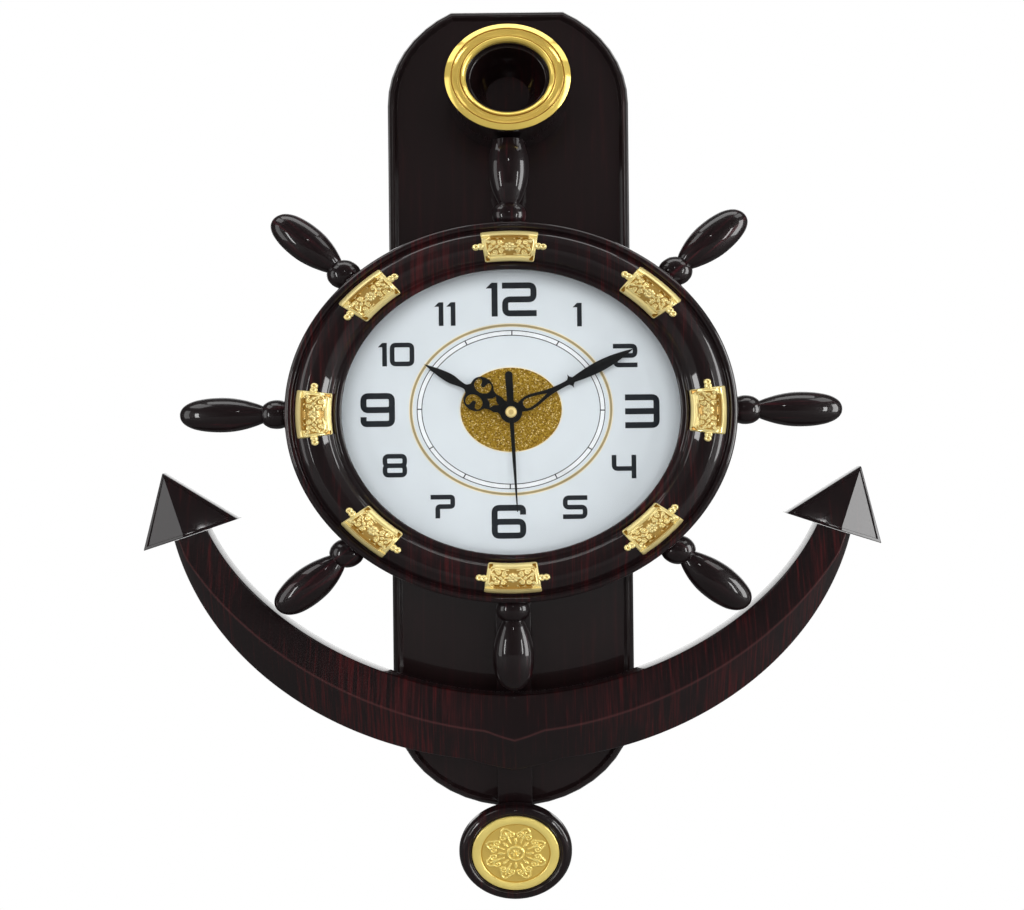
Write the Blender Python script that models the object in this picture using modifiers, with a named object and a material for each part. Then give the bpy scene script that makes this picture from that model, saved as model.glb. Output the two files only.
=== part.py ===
"""Anchor-and-ship's-wheel pendulum wall clock, as separate pieces.

The scene is in metres with +Z up.  Sizes below are millimetres and are scaled
by MM.  "Depth" is the distance from the wall towards the room, so a depth of
20 lies at y = -0.020.  The origin is the nail that the clock hangs on.
"""
import math

import bmesh
import bpy
from mathutils import Matrix, Vector

MM = 0.001
AXIS_BELOW_NAIL = 240.0       # the hands' axis is this far below the nail
OVAL = 1.19                   # width over height of every round moulding
GAP = 0.3                     # clearance between pieces that touch

# Back board
BOARD_HALF_WIDTH = 82.8
BOARD_TOP_CENTRE = 211.3
BOARD_TOP_RISE = 71.9
BOARD_FLAT_TOP = 274.9
BOARD_BOTTOM_CENTRE = -202.0
BOARD_BOTTOM_DROP = 69.8
BOARD_SIDE_DEPTH = 7.0
BOARD_RIM_STEPS = ((1.6, 3.2), (2.0, 1.8), (1.4, 0.0), (1.8, -3.0))   # inset, rise
PANEL_DEPTH = 9.0
OPENING_HALF_WIDTH = 38.0     # hole in the board behind the movement
OPENING_TOP = 46.0
OPENING_BOTTOM = -60.0
HANGER_HALF_WIDTH = 20.7
HANGER_TOP = 8.7
HANGER_BOTTOM = -11.7
HANGER_SCREW = (14.0, -1.5)

# Anchor ring above the wheel
RING_HEIGHT = 213.5

# Ship's wheel
CASE_RADIUS = 112.0
CASE_BACK = 12.3
CASE_FRONT = 39.7
SCREW_POST_X = 62.0
BEZEL_BACK = 40.0
BEZEL_FACE = [(97.2, 55.0), (99.5, 58.2), (104.0, 61.2), (110.0, 61.6), (115.0, 59.4),
              (118.0, 56.0)]
GLASS_RADIUS = 94.8
DIAL_RADIUS = 108.4
PLATE_RADIUS = 106.8
PLATE_COLUMNS = (-14.5, -13.2, -5.0, 5.0, 13.2, 14.5)
PLATE_ROWS = (97.2, 99.5, 104.0, 110.0, 115.0, 116.6)
PLATE_EDGE = 1.0
PLATE_FRAME = 2.4
PLATE_FIELD = 1.6
EAR_RADIUS = 107.0
EAR_STEPS = ((1.4, 0.5), (1.9, 1.6), (2.2, 0.6))    # length, change of width
SPOKES = 8
SPOKE_DEPTH = 45.0
SPOKE_TIP = 182.0
TOP_SPOKE_TIP = 178.4

# Anchor arms: height of each curve's centre, half width and drop
OUTER_CURVE = (-43.3, 229.0, 188.3, 2.0)
INNER_CURVE = (-33.7, 213.0, 153.9, 1.85)
RIDGE_CURVE = (-24.3, 237.0, 185.2, 1.8)
ARM_BACK = 24.0
ARM_EDGE_DEPTH = 37.0
RIDGE_DEPTH = 46.0
RIDGE_SHARES = (0.2, 0.72)     # how near the ridge comes to either edge
ARM_WALL = 3.0
ARM_STEPS = 42
OUTER_POINT = (30.0, -237.4)
RIDGE_POINT = (19.0, -215.0)
FLUKE_TOP = (231.3, -38.2)
FLUKE_OUT = (244.3, -89.6)
FLUKE_IN = (181.8, -69.1)
FLUKE_FOLD_X = 214.5
ANCHOR_POST = (55.0, -199.0)

# Quartz movement, seen from the front: x and z from the hands' axis
CASE_HALF_WIDTH = 33.0
MOVEMENT_TOP = 40.0
MOVEMENT_BOTTOM = -46.0
MOVEMENT_FRONT = 34.2
MOVEMENT_BACK = 18.0
MOVEMENT_FLOOR = 32.6         # inside face of the front wall
CASE_WALL = 1.4
COVER_DEPTHS = (17.9, 19.4)
BATTERY_HEIGHT = 30.0
BATTERY_RADIUS = 7.1
PIVOT_RADIUS = 0.4
HOLE_CLEARANCE = 0.06

# Gear train: arbor places and tooth counts
THIRD_X = -9.9
STEP_X = 10.2
MOTION_Z = 10.0
ROTOR_X = STEP_X + 5.88
HOUR_TEETH = 32
MOTION_PINION_TEETH = 8
MOTION_TEETH = 30
CANNON_TEETH = 10
MINUTE_TEETH = 48
THIRD_PINION_TEETH = 6
THIRD_TEETH = 45
SECOND_PINION_TEETH = 6
SECOND_TEETH = 30
STEP_PINION_TEETH = 6
STEP_TEETH = 36
ROTOR_PINION_TEETH = 6

# Pendulum
PENDULUM_PIVOT = -14.0
BOB_HEIGHT = -294.3
BOB_RADIUS = 31.9
MEDALLION_RADIUS = 24.5
ROD_HALF_WIDTH = 11.7

# Hands: direction above the 3 o'clock line, in degrees
MINUTE_ANGLE = 26.75
HOUR_ANGLE = 150.7
SECOND_ANGLE = -86.9
MINUTE_LENGTH = 90.1
HOUR_LENGTH = 65.1
SECOND_LENGTH = 65.3
HUB_RADIUS = 7.4
HOUR_BORE = 2.9
MINUTE_BORE = 1.95
SCROLL_CENTRE = (24.5, 5.6)

SIDES = ((-1, "1"), (1, "2"))


# ---------------------------------------------------------------- helpers

def clear_scene():
    for thing in list(bpy.context.scene.objects):
        bpy.data.objects.remove(thing, do_unlink=True)


def new_collection(name):
    collection = bpy.data.collections.new(name)
    bpy.context.scene.collection.children.link(collection)
    return collection


def place(x, depth, z):
    """A point in metres from millimetres right, towards the room and up."""
    return Vector((x, -depth, z)) * MM


def surface(name, colour, roughness, metallic=0.0):
    material = bpy.data.materials.get(name)
    if material:
        return material
    material = bpy.data.materials.new(name)
    material.use_nodes = True
    shader = material.node_tree.nodes["Principled BSDF"]
    shader.inputs["Base Color"].default_value = (*colour, 1.0)
    shader.inputs["Roughness"].default_value = roughness
    shader.inputs["Metallic"].default_value = metallic
    return material


def rosewood():
    return surface("rosewood_gloss", (0.020, 0.006, 0.006), 0.16)


def board_gloss():
    return surface("board_gloss", (0.014, 0.008, 0.008), 0.14)


def gold():
    return surface("gold_plating", (0.83, 0.60, 0.14), 0.22, 1.0)


def black_satin():
    return surface("hand_black", (0.016, 0.018, 0.020), 0.45)


def black_plastic():
    return surface("case_black", (0.03, 0.03, 0.032), 0.5)


def white_plastic():
    return surface("gear_white", (0.78, 0.77, 0.72), 0.4)


def steel():
    return surface("steel", (0.60, 0.60, 0.62), 0.3, 1.0)


def brass():
    return surface("brass", (0.72, 0.53, 0.22), 0.3, 1.0)


def copper():
    return surface("copper_winding", (0.62, 0.27, 0.12), 0.35, 1.0)


def dial_silver():
    return surface("dial_silver", (0.74, 0.79, 0.82), 0.4)


def clear_glass():
    return surface("glass", (0.92, 0.95, 0.96), 0.03)


def battery_wrap():
    return surface("battery_wrap", (0.10, 0.22, 0.12), 0.35)


def board_green():
    return surface("circuit_green", (0.03, 0.20, 0.08), 0.4)


def link_piece(name, data, origin=None, parent=None):
    piece = bpy.data.objects.new(name, data)
    piece.location = WHEEL_CENTRE if origin is None else origin
    piece.parent = parent
    CLOCK.objects.link(piece)
    return piece


def dress(piece, material):
    """Give a piece its material and shade its round faces smooth."""
    piece.data.materials.clear()
    piece.data.materials.append(material)
    if not piece.modifiers:
        piece.data.shade_smooth()
        piece.data.set_sharp_from_angle(angle=math.radians(32))
    return piece


def combine(piece, operand, operation, label):
    """Join or cut one piece with another, which becomes a hidden helper."""
    operand.name = piece.name + "_" + label
    operand.hide_render = True
    operand.display_type = "WIRE"
    CLOCK.objects.unlink(operand)
    HELPERS.objects.link(operand)
    modifier = piece.modifiers.new(label, "BOOLEAN")
    modifier.operation = operation
    modifier.solver = "EXACT"
    modifier.object = operand


def join(piece, operand, label):
    combine(piece, operand, "UNION", label)


def cut(piece, operand, label):
    combine(piece, operand, "DIFFERENCE", label)


def mesh_from(bm, name):
    bmesh.ops.recalc_face_normals(bm, faces=bm.faces)
    if bm.calc_volume(signed=True) < 0:
        bmesh.ops.reverse_faces(bm, faces=bm.faces)
    mesh = bpy.data.meshes.new(name)
    bm.to_mesh(mesh)
    bm.free()
    return mesh


def profile_area(profile):
    pairs = zip(profile, profile[1:] + profile[:1])
    return sum(r0 * d1 - r1 * d0 for (r0, d0), (r1, d1) in pairs)


def turned(name, profile, steps=24, origin=None, parent=None):
    """Turned piece about the front-to-back axis, from (radius, depth) points.

    A profile that starts and ends on the axis stays open; any other closes.
    """
    if profile_area(profile) < 0:
        profile = profile[::-1]
    mesh = bpy.data.meshes.new(name)
    edges = [(index, index + 1) for index in range(len(profile) - 1)]
    if profile[0][0] > 0 or profile[-1][0] > 0:
        edges.append((len(profile) - 1, 0))
    mesh.from_pydata([place(radius, depth, 0) for radius, depth in profile], edges, [])
    piece = link_piece(name, mesh, origin, parent)
    screw = piece.modifiers.new("turn", "SCREW")
    screw.axis = "Y"
    screw.steps = steps
    screw.render_steps = steps
    screw.use_merge_vertices = True
    screw.merge_threshold = 1e-6
    screw.use_smooth_shade = True
    return piece


def bar(radius, back, front, steps=24, x=0.0, z=0.0, origin=None):
    """Round bar along the depth."""
    bm = bmesh.new()
    bmesh.ops.create_cone(bm, cap_ends=True, segments=steps, radius1=radius * MM,
                          radius2=radius * MM, depth=(front - back) * MM)
    bmesh.ops.rotate(bm, matrix=Matrix.Rotation(math.radians(90), 3, "X"), verts=bm.verts)
    bmesh.ops.translate(bm, vec=place(x, (front + back) / 2, z), verts=bm.verts)
    return link_piece("bar", mesh_from(bm, "bar"), origin)


def box(left, right, back, front, low, high, origin=None):
    bm = bmesh.new()
    bmesh.ops.create_cube(bm, size=1.0)
    size = Vector((right - left, front - back, high - low)) * MM
    bmesh.ops.scale(bm, vec=size, verts=bm.verts)
    centre = place((left + right) / 2, (back + front) / 2, (low + high) / 2)
    bmesh.ops.translate(bm, vec=centre, verts=bm.verts)
    return link_piece("box", mesh_from(bm, "box"), origin)


def flat_mesh(outlines, back, front):
    """Flat plate from (x, z) outlines; one inside another is a hole."""
    curve = bpy.data.curves.new("outline", "CURVE")
    curve.dimensions = "2D"
    curve.fill_mode = "BOTH"
    curve.extrude = (front - back) / 2 * MM
    for outline in outlines:
        spline = curve.splines.new("POLY")
        spline.points.add(len(outline) - 1)
        for point, (x, z) in zip(spline.points, outline):
            point.co = (x * MM, z * MM, 0, 1)
        spline.use_cyclic_u = True
    drawn = bpy.data.objects.new("outline", curve)
    bm = bmesh.new()
    bm.from_mesh(bpy.data.meshes.new_from_object(drawn))
    bpy.data.objects.remove(drawn)
    bmesh.ops.remove_doubles(bm, verts=bm.verts, dist=1e-7)
    upright = Matrix.Rotation(math.radians(90), 4, "X")
    middle = Matrix.Translation(place(0, (front + back) / 2, 0))
    bmesh.ops.transform(bm, matrix=middle @ upright, verts=bm.verts)
    return bm


def flat(name, outlines, back, front, origin=None):
    return link_piece(name, mesh_from(flat_mesh(outlines, back, front), name), origin)


def arc(centre_x, centre_z, radius_x, radius_z, start, end, count):
    points = []
    for step in range(count + 1):
        angle = math.radians(start + (end - start) * step / count)
        points.append((centre_x + radius_x * math.cos(angle),
                       centre_z + radius_z * math.sin(angle)))
    return points


def mirrored(half):
    """Close a half outline of (length, half width) by mirroring it."""
    return half + [(x, -z) for x, z in reversed(half) if z > 0.01]


# ------------------------------------------------------------ board, ring

def board_outline():
    cut_angle = math.degrees(math.asin((BOARD_FLAT_TOP - BOARD_TOP_CENTRE) / BOARD_TOP_RISE))
    right = arc(0, BOARD_TOP_CENTRE, BOARD_HALF_WIDTH, BOARD_TOP_RISE, 0, cut_angle, 8)
    left = [(-x, z) for x, z in reversed(right)]
    bottom = arc(0, BOARD_BOTTOM_CENTRE, BOARD_HALF_WIDTH, BOARD_BOTTOM_DROP, 180, 360, 22)
    return right + left + bottom


def build_board():
    bm = flat_mesh([board_outline()], 0.0, BOARD_SIDE_DEPTH)
    front_y = -0.9 * BOARD_SIDE_DEPTH * MM
    fronts = [face for face in bm.faces if face.calc_center_median().y < front_y]
    bmesh.ops.recalc_face_normals(bm, faces=bm.faces)
    for inset, rise in BOARD_RIM_STEPS:
        bmesh.ops.inset_region(bm, faces=fronts, thickness=inset * MM, depth=rise * MM,
                               use_even_offset=True)
    board = link_piece("back_board", mesh_from(bm, "back_board"))
    opening = box(-OPENING_HALF_WIDTH, OPENING_HALF_WIDTH, -2, 14, OPENING_BOTTOM, OPENING_TOP)
    cut(board, opening, "movement_opening")
    top = AXIS_BELOW_NAIL
    side_x = HANGER_HALF_WIDTH + GAP
    recess = box(-side_x, side_x, -1, 2.1, top + HANGER_BOTTOM - GAP, top + HANGER_TOP + GAP)
    cut(board, recess, "hanger_recess")
    cut(board, box(-7, 7, 1.5, 7, top - 11, top + 5), "nail_pocket")
    screw_x, screw_z = HANGER_SCREW
    for side, label in SIDES:
        hole = bar(1.4, 1.5, 6.5, 10, side * screw_x, top + screw_z)
        cut(board, hole, "hanger_hole_" + label)
        cut(board, bar(1.9, -1, 14, 12, side * SCREW_POST_X), "case_hole_" + label)
    dress(board, board_gloss())


def build_hanger():
    """Keyhole plate let into the back of the board, and its two screws."""
    nail = Vector((0, 0, 0))
    half = HANGER_HALF_WIDTH
    outline = [(-half, HANGER_BOTTOM), (half, HANGER_BOTTOM), (half, HANGER_TOP),
               (-half, HANGER_TOP)]
    screw_x, screw_z = HANGER_SCREW
    keyhole = arc(0, -5, 4.5, 4.5, 150, 390, 12) + arc(0, 2, 2.2, 2.2, 0, 180, 6)
    plate = flat("hanger_plate", [outline, keyhole], 0.3, 1.8, nail)
    for side, label in SIDES:
        hole = bar(1.4, -1, 3, 12, side * screw_x, screw_z, nail)
        cut(plate, hole, "screw_hole_" + label)
        screw = turned("hanger_screw_" + label, [(0, 0.0), (1.1, 0.0), (1.1, 5.8), (0, 6.2)], 10,
                       place(side * screw_x, 0, screw_z))
        dress(screw, brass())
    dress(plate, steel())


def build_ring():
    housing = [(34.5, PANEL_DEPTH + GAP), (33.4, 60.8), (32.4, 62), (22.6, 62), (17.5, 40),
               (14.2, 22), (0, 22), (0, 19.6), (12.0, 19.6), (15.2, 39.6), (20.4, 59.2),
               (30.8, 59.2), (32.0, PANEL_DEPTH + GAP)]
    dress(turned("ring_housing", housing, 32, ON_PARENT, OVAL_RING), rosewood())
    trim = [(33.7, 62 + GAP), (33.8, 66.0), (31.6, 68.4), (29.6, 65.4), (27.0, 64.8),
            (24.2, 67.4), (22.5, 66.4), (22.5, 62 + GAP)]
    dress(turned("ring_trim", trim, 40, ON_PARENT, OVAL_RING), gold())


# ------------------------------------------------------------------ wheel

def bezel_height(radius):
    """Depth of the bezel's moulded face at a radius."""
    for (r0, d0), (r1, d1) in zip(BEZEL_FACE, BEZEL_FACE[1:]):
        if radius <= r1:
            return d0 + (d1 - d0) * (radius - r0) / (r1 - r0)
    return BEZEL_FACE[-1][1]


def build_wheel_case():
    """Drum behind the bezel: rim wall, dial wall, two screw posts, rod slot."""
    inner = CASE_RADIUS - 3
    profile = [(CASE_RADIUS, CASE_BACK), (CASE_RADIUS, CASE_FRONT), (inner, CASE_FRONT),
               (inner, 36.0), (4.5, 36.0), (4.5, 34.5), (inner, 34.5), (inner, CASE_BACK)]
    case = turned("wheel_case", profile, 44, parent=OVAL_WHEEL, origin=ON_PARENT)
    for side, label in SIDES:
        post_x = side * SCREW_POST_X
        join(case, bar(5.0, PANEL_DEPTH + GAP, 35.0, 16, post_x), "post_" + label)
        cut(case, bar(1.5, 5.0, 24.0, 12, post_x), "pilot_" + label)
        screw = turned("case_screw_" + label, [(0, 0.0), (1.3, 0.0), (1.3, 22.0), (0, 23.0)], 12,
                       at(post_x, 0))
        dress(screw, steel())
    cut(case, box(-30, 30, 5, 23, -CASE_RADIUS - 5, -CASE_RADIUS + 14), "rod_slot")
    dress(case, black_plastic())


def build_bezel():
    rest = [(120.6, 58.6), (123.2, 55.5), (123.2, BEZEL_BACK), (98.0, BEZEL_BACK),
            (98.0, 50.6), (95.2, 50.6), (95.2, 53.9), (92.0, 53.9), (92.2, 55.4), (94.5, 56.6)]
    bezel = turned("bezel", BEZEL_FACE + rest, 52, parent=OVAL_WHEEL, origin=ON_PARENT)
    dress(bezel, rosewood())
    pane = [(0, 51.0), (GLASS_RADIUS, 51.0), (GLASS_RADIUS, 53.5), (0, 53.5)]
    dress(turned("glass", pane, 44, parent=OVAL_WHEEL, origin=ON_PARENT), clear_glass())
    face = [(4.5, 36.3), (DIAL_RADIUS, 36.3), (DIAL_RADIUS, 37.3), (4.5, 37.3)]
    dress(turned("dial", face, 44, parent=OVAL_WHEEL, origin=ON_PARENT), dial_silver())


def trim_plate_mesh():
    """Curved plate at the top of the bezel: raised frame, round end ears."""
    half = PLATE_COLUMNS[-1]
    last_row = PLATE_ROWS[-1]
    bm = bmesh.new()
    bmesh.ops.create_grid(bm, x_segments=len(PLATE_COLUMNS) - 1,
                          y_segments=len(PLATE_ROWS) - 1, size=0.5)
    for vert in bm.verts:
        column = PLATE_COLUMNS[round((vert.co.x + 0.5) * (len(PLATE_COLUMNS) - 1))]
        row = PLATE_ROWS[round((vert.co.y + 0.5) * (len(PLATE_ROWS) - 1))]
        level = PLATE_FIELD
        if abs(column) > half - 2 or row in (PLATE_ROWS[1], PLATE_ROWS[-2]):
            level = PLATE_FRAME
        if abs(column) == half or row in (PLATE_ROWS[0], last_row):
            level = PLATE_EDGE
        vert.co = (column, row, level)
    grown = bmesh.ops.extrude_face_region(bm, geom=bm.faces[:], use_keep_orig=True)
    for item in grown["geom"]:
        if isinstance(item, bmesh.types.BMVert):
            item.co.z = 0.0
    bmesh.ops.recalc_face_normals(bm, faces=bm.faces)
    for side, _ in SIDES:
        add_ear(bm, side)
    for vert in bm.verts:
        along, radius, level = vert.co
        angle = along / PLATE_RADIUS
        depth = bezel_height(radius) + GAP + level
        vert.co = place(radius * math.sin(angle), depth, radius * math.cos(angle))
    return mesh_from(bm, "trim_plate")


def add_ear(bm, side):
    """Grow a necked round ear out of the middle of one end."""
    faces = [face for face in bm.faces
             if abs(face.normal.x - side) < 0.05
             and abs(face.calc_center_median().y - EAR_RADIUS) < 3
             and face.calc_center_median().x * side > PLATE_COLUMNS[-1] - 0.1]
    for length, spread in EAR_STEPS:
        grown = bmesh.ops.extrude_face_region(bm, geom=faces, use_keep_orig=True)
        bmesh.ops.delete(bm, geom=faces, context="FACES")
        faces = [item for item in grown["geom"] if isinstance(item, bmesh.types.BMFace)]
        for item in grown["geom"]:
            if isinstance(item, bmesh.types.BMVert):
                item.co.x += side * length
                item.co.y = EAR_RADIUS + (item.co.y - EAR_RADIUS) * spread


def build_trim_plates():
    mesh = trim_plate_mesh()
    for index in range(SPOKES):
        plate = link_piece("trim_plate_" + str(index + 1), mesh, ON_PARENT, OVAL_WHEEL)
        plate.rotation_euler.y = math.tau * index / SPOKES
        dress(plate, gold())


def build_handles():
    """Turned handles round the wheel; the top one ends under the ring."""
    foot = [(0, 123.7), (7.0, 123.7), (9.2, 127.0), (9.3, 131.0), (7.2, 135.0), (5.8, 136.4)]
    grip = [(7.4, 140.0), (10.4, 150.0), (11.5, 160.0), (10.6, 170.0)]
    tip = [(7.4, 178.0), (4.0, 181.2), (0, SPOKE_TIP)]
    flat_tip = [(7.4, TOP_SPOKE_TIP), (0, TOP_SPOKE_TIP)]
    outward = Matrix.Rotation(math.radians(-90), 4, "X")
    for index in range(SPOKES):
        profile = foot + grip + (flat_tip if index == 0 else tip)
        handle = turned("handle_" + str(index + 1), profile, 14, parent=OVAL_WHEEL,
                        origin=place(0, SPOKE_DEPTH, 0))
        around = Matrix.Rotation(math.tau * index / SPOKES, 4, "Y")
        handle.rotation_euler = (around @ outward).to_euler()
        dress(handle, rosewood())


# ----------------------------------------------------------------- anchor

def curve_point(curve, turn):
    """Point on a hanging curve; turn runs from -90 to 90 degrees."""
    centre, half_width, drop, power = curve
    angle = math.radians(turn)
    x = half_width * math.copysign(abs(math.sin(angle)) ** (2 / power), turn)
    return x, centre - drop * abs(math.cos(angle)) ** (2 / power)


def pointed(point, tip):
    """Pull the lowest stretch of a curve down to its centre point."""
    half_width, tip_z = tip
    x, z = point
    if abs(x) < half_width:
        z = min(z, tip_z + (z - tip_z) * abs(x) / half_width)
    return x, z


def ridge_point(inner, outer):
    """Where the ridge curve crosses from the inner edge to the outer one."""
    centre, half_width, drop, power = RIDGE_CURVE
    low, high = RIDGE_SHARES
    point = inner
    for _ in range(24):
        share = (low + high) / 2
        point = (inner[0] + share * (outer[0] - inner[0]),
                 inner[1] + share * (outer[1] - inner[1]))
        reach = (abs(point[0]) / half_width) ** power
        fall = (max(0.0, centre - point[1]) / drop) ** power
        if reach + fall < 1:
            low = share
        else:
            high = share
    return point


def arm_section(turn):
    """Hollow cross-section of the arms, as a closed loop of points."""
    outer = pointed(curve_point(OUTER_CURVE, turn), OUTER_POINT)
    inner = curve_point(INNER_CURVE, turn)
    ridge = pointed(ridge_point(inner, outer), RIDGE_POINT)
    across = (Vector(inner) - Vector(outer)).normalized() * ARM_WALL
    outer_wall = tuple(Vector(outer) + across)
    inner_wall = tuple(Vector(inner) - across)
    shell = [(inner, ARM_BACK), (inner, ARM_EDGE_DEPTH), (ridge, RIDGE_DEPTH),
             (outer, ARM_EDGE_DEPTH), (outer, ARM_BACK)]
    hollow = [(outer_wall, ARM_BACK), (outer_wall, ARM_EDGE_DEPTH - ARM_WALL),
              (ridge, RIDGE_DEPTH - ARM_WALL), (inner_wall, ARM_EDGE_DEPTH - ARM_WALL),
              (inner_wall, ARM_BACK)]
    return [place(point[0], depth, point[1]) for point, depth in shell + hollow]


def trim_to_fluke(bm, side):
    """Cut the arm off along the fluke's lower edge."""
    low = Vector(FLUKE_OUT)
    edge = Vector(FLUKE_IN) - low
    normal = Vector((-edge.y, edge.x)).normalized()
    if normal.y < 0:
        normal = -normal
    start = low - normal * GAP
    geometry = bm.verts[:] + bm.edges[:] + bm.faces[:]
    result = bmesh.ops.bisect_plane(bm, geom=geometry, dist=1e-7,
                                    plane_co=place(side * start.x, 0, start.y),
                                    plane_no=(side * normal.x, 0, normal.y),
                                    clear_outer=True)
    rim = [item for item in result["geom_cut"] if isinstance(item, bmesh.types.BMEdge)]
    bmesh.ops.contextual_create(bm, geom=rim)


def build_anchor_arms():
    bm = bmesh.new()
    sections = []
    for step in range(ARM_STEPS + 1):
        turn = -90 + 180 * step / ARM_STEPS
        sections.append([bm.verts.new(co) for co in arm_section(turn)])
    for first, second in zip(sections, sections[1:]):
        for index in range(len(first)):
            after = (index + 1) % len(first)
            bm.faces.new((first[index], first[after], second[after], second[index]))
    for side, _ in SIDES:
        trim_to_fluke(bm, side)
    arms = link_piece("anchor_arms", mesh_from(bm, "anchor_arms"))
    for side, label in SIDES:
        post_x, post_z = ANCHOR_POST
        post = bar(6.0, PANEL_DEPTH + GAP, RIDGE_DEPTH - 4.2, 14, side * post_x, post_z)
        join(arms, post, "post_" + label)
    dress(arms, rosewood())


def build_flukes():
    """Pyramid-faced arrow heads at the ends of the arms."""
    share = (FLUKE_OUT[0] - FLUKE_FOLD_X) / (FLUKE_OUT[0] - FLUKE_IN[0])
    fold = (FLUKE_FOLD_X, FLUKE_OUT[1] + share * (FLUKE_IN[1] - FLUKE_OUT[1]))
    outline = (FLUKE_TOP, FLUKE_OUT, FLUKE_IN)
    corners = [(corner, ARM_BACK) for corner in outline]
    corners += [(corner, ARM_EDGE_DEPTH) for corner in outline] + [(fold, RIDGE_DEPTH + 2)]
    for side, name in ((-1, "fluke_left"), (1, "fluke_right")):
        bm = bmesh.new()
        for (x, z), depth in corners:
            bm.verts.new(place(side * x, depth, z))
        bmesh.ops.convex_hull(bm, input=bm.verts)
        dress(link_piece(name, mesh_from(bm, name)), rosewood())


# ---------------------------------------------------------------- gearing

def gear(teeth, pitch_radius, tooth_angle, back, front, origin=None):
    """Fine pointed teeth, thin enough to leave backlash; one at tooth_angle."""
    module = 2 * pitch_radius / teeth
    root = pitch_radius - 0.80 * module
    tip = pitch_radius + 0.60 * module
    half = math.pi / teeth * 0.70
    outline = []
    for tooth in range(teeth):
        middle = tooth_angle + math.tau * tooth / teeth
        for radius, offset in ((root, -half), (tip, 0), (root, half)):
            outline.append((radius * math.cos(middle + offset),
                            radius * math.sin(middle + offset)))
    return flat("gear", [outline], back, front, origin)


def pitch_radii(distance, teeth, other_teeth):
    share = distance / (teeth + other_teeth)
    return share * teeth, share * other_teeth


def gap_angle(direction, teeth):
    """Turn a gear so that a tooth gap, not a tooth, points this way."""
    return direction + math.pi / teeth


def arbor(name, origin, back=18.8, core=0.8):
    """Spindle with a thin pivot at each end."""
    profile = [(0, back), (PIVOT_RADIUS, back), (PIVOT_RADIUS, 19.7), (core, 19.7),
               (core, 32.3), (PIVOT_RADIUS, 32.3), (PIVOT_RADIUS, 33.4), (0, 33.4)]
    return turned(name, profile, 10, origin)


def at(x, z):
    return WHEEL_CENTRE + place(x, 0, z)


def build_motion_works():
    """Minute arbor to motion wheel to hour wheel, twelve to one."""
    up = math.radians(90)
    cannon_r, motion_r = pitch_radii(MOTION_Z, CANNON_TEETH, MOTION_TEETH)
    pinion_r, hour_r = pitch_radii(MOTION_Z, MOTION_PINION_TEETH, HOUR_TEETH)
    hour = bar(2.64, 30.9, 43.0)
    hour.name = "hour_wheel"
    join(hour, gear(HOUR_TEETH, hour_r, gap_angle(up, HOUR_TEETH), 31.0, 32.3), "teeth")
    cut(hour, bar(1.76, 29, 45), "bore")
    dress(hour, white_plastic())

    place_motion = at(0, MOTION_Z)
    motion = arbor("motion_wheel", place_motion, back=15.6)
    pinion = gear(MOTION_PINION_TEETH, pinion_r, -up, 30.4, 32.2, place_motion)
    join(motion, pinion, "pinion")
    teeth = gear(MOTION_TEETH, motion_r, gap_angle(-up, MOTION_TEETH), 29.2, 30.5, place_motion)
    join(motion, teeth, "teeth")
    join(motion, bar(5.5, 15.2, 17.2, 20, origin=place_motion), "set_knob")
    dress(motion, white_plastic())

    _, minute_r = pitch_radii(-THIRD_X, THIRD_PINION_TEETH, MINUTE_TEETH)
    left = math.radians(180)
    minute = bar(1.70, 27.9, 46.0)
    minute.name = "minute_wheel"
    teeth = gear(MINUTE_TEETH, minute_r, gap_angle(left, MINUTE_TEETH), 28.0, 29.0)
    join(minute, teeth, "teeth")
    join(minute, gear(CANNON_TEETH, cannon_r, up, 29.2, 30.5), "cannon")
    cut(minute, bar(0.66, 26, 48, 16), "bore")
    dress(minute, white_plastic())


def build_going_train():
    """Rotor to step wheel to second wheel to third wheel."""
    left = math.radians(180)
    third_pinion_r, _ = pitch_radii(-THIRD_X, THIRD_PINION_TEETH, MINUTE_TEETH)
    second_pinion_r, third_r = pitch_radii(-THIRD_X, SECOND_PINION_TEETH, THIRD_TEETH)
    step_pinion_r, second_r = pitch_radii(STEP_X, STEP_PINION_TEETH, SECOND_TEETH)
    rotor_pinion_r, step_r = pitch_radii(ROTOR_X - STEP_X, ROTOR_PINION_TEETH, STEP_TEETH)

    spot = at(THIRD_X, 0)
    third = arbor("third_wheel", spot)
    join(third, gear(THIRD_PINION_TEETH, third_pinion_r, 0.0, 27.2, 29.2, spot), "pinion")
    join(third, gear(THIRD_TEETH, third_r, gap_angle(0.0, THIRD_TEETH), 26.2, 27.3, spot),
         "teeth")
    dress(third, white_plastic())

    spindle = [(0, 18.8), (PIVOT_RADIUS, 18.8), (PIVOT_RADIUS, 19.7), (0.6, 19.7),
               (0.6, 48.6), (0, 48.6)]
    second = turned("second_wheel", spindle, 12)
    join(second, gear(SECOND_PINION_TEETH, second_pinion_r, left, 25.4, 27.5), "pinion")
    join(second, gear(SECOND_TEETH, second_r, gap_angle(0.0, SECOND_TEETH), 24.4, 25.5),
         "teeth")
    dress(second, white_plastic())

    spot = at(STEP_X, 0)
    step = arbor("step_wheel", spot)
    join(step, gear(STEP_PINION_TEETH, step_pinion_r, left, 23.8, 25.6, spot), "pinion")
    join(step, gear(STEP_TEETH, step_r, gap_angle(0.0, STEP_TEETH), 22.9, 24.0, spot), "teeth")
    dress(step, white_plastic())

    spot = at(ROTOR_X, 0)
    rotor = arbor("rotor", spot, core=0.55)
    join(rotor, gear(ROTOR_PINION_TEETH, rotor_pinion_r, left, 22.0, 24.2, spot), "pinion")
    join(rotor, bar(2.8, 20.2, 22.3, 16, origin=spot), "magnet")
    dress(rotor, steel())


# --------------------------------------------------------------- movement

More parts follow.
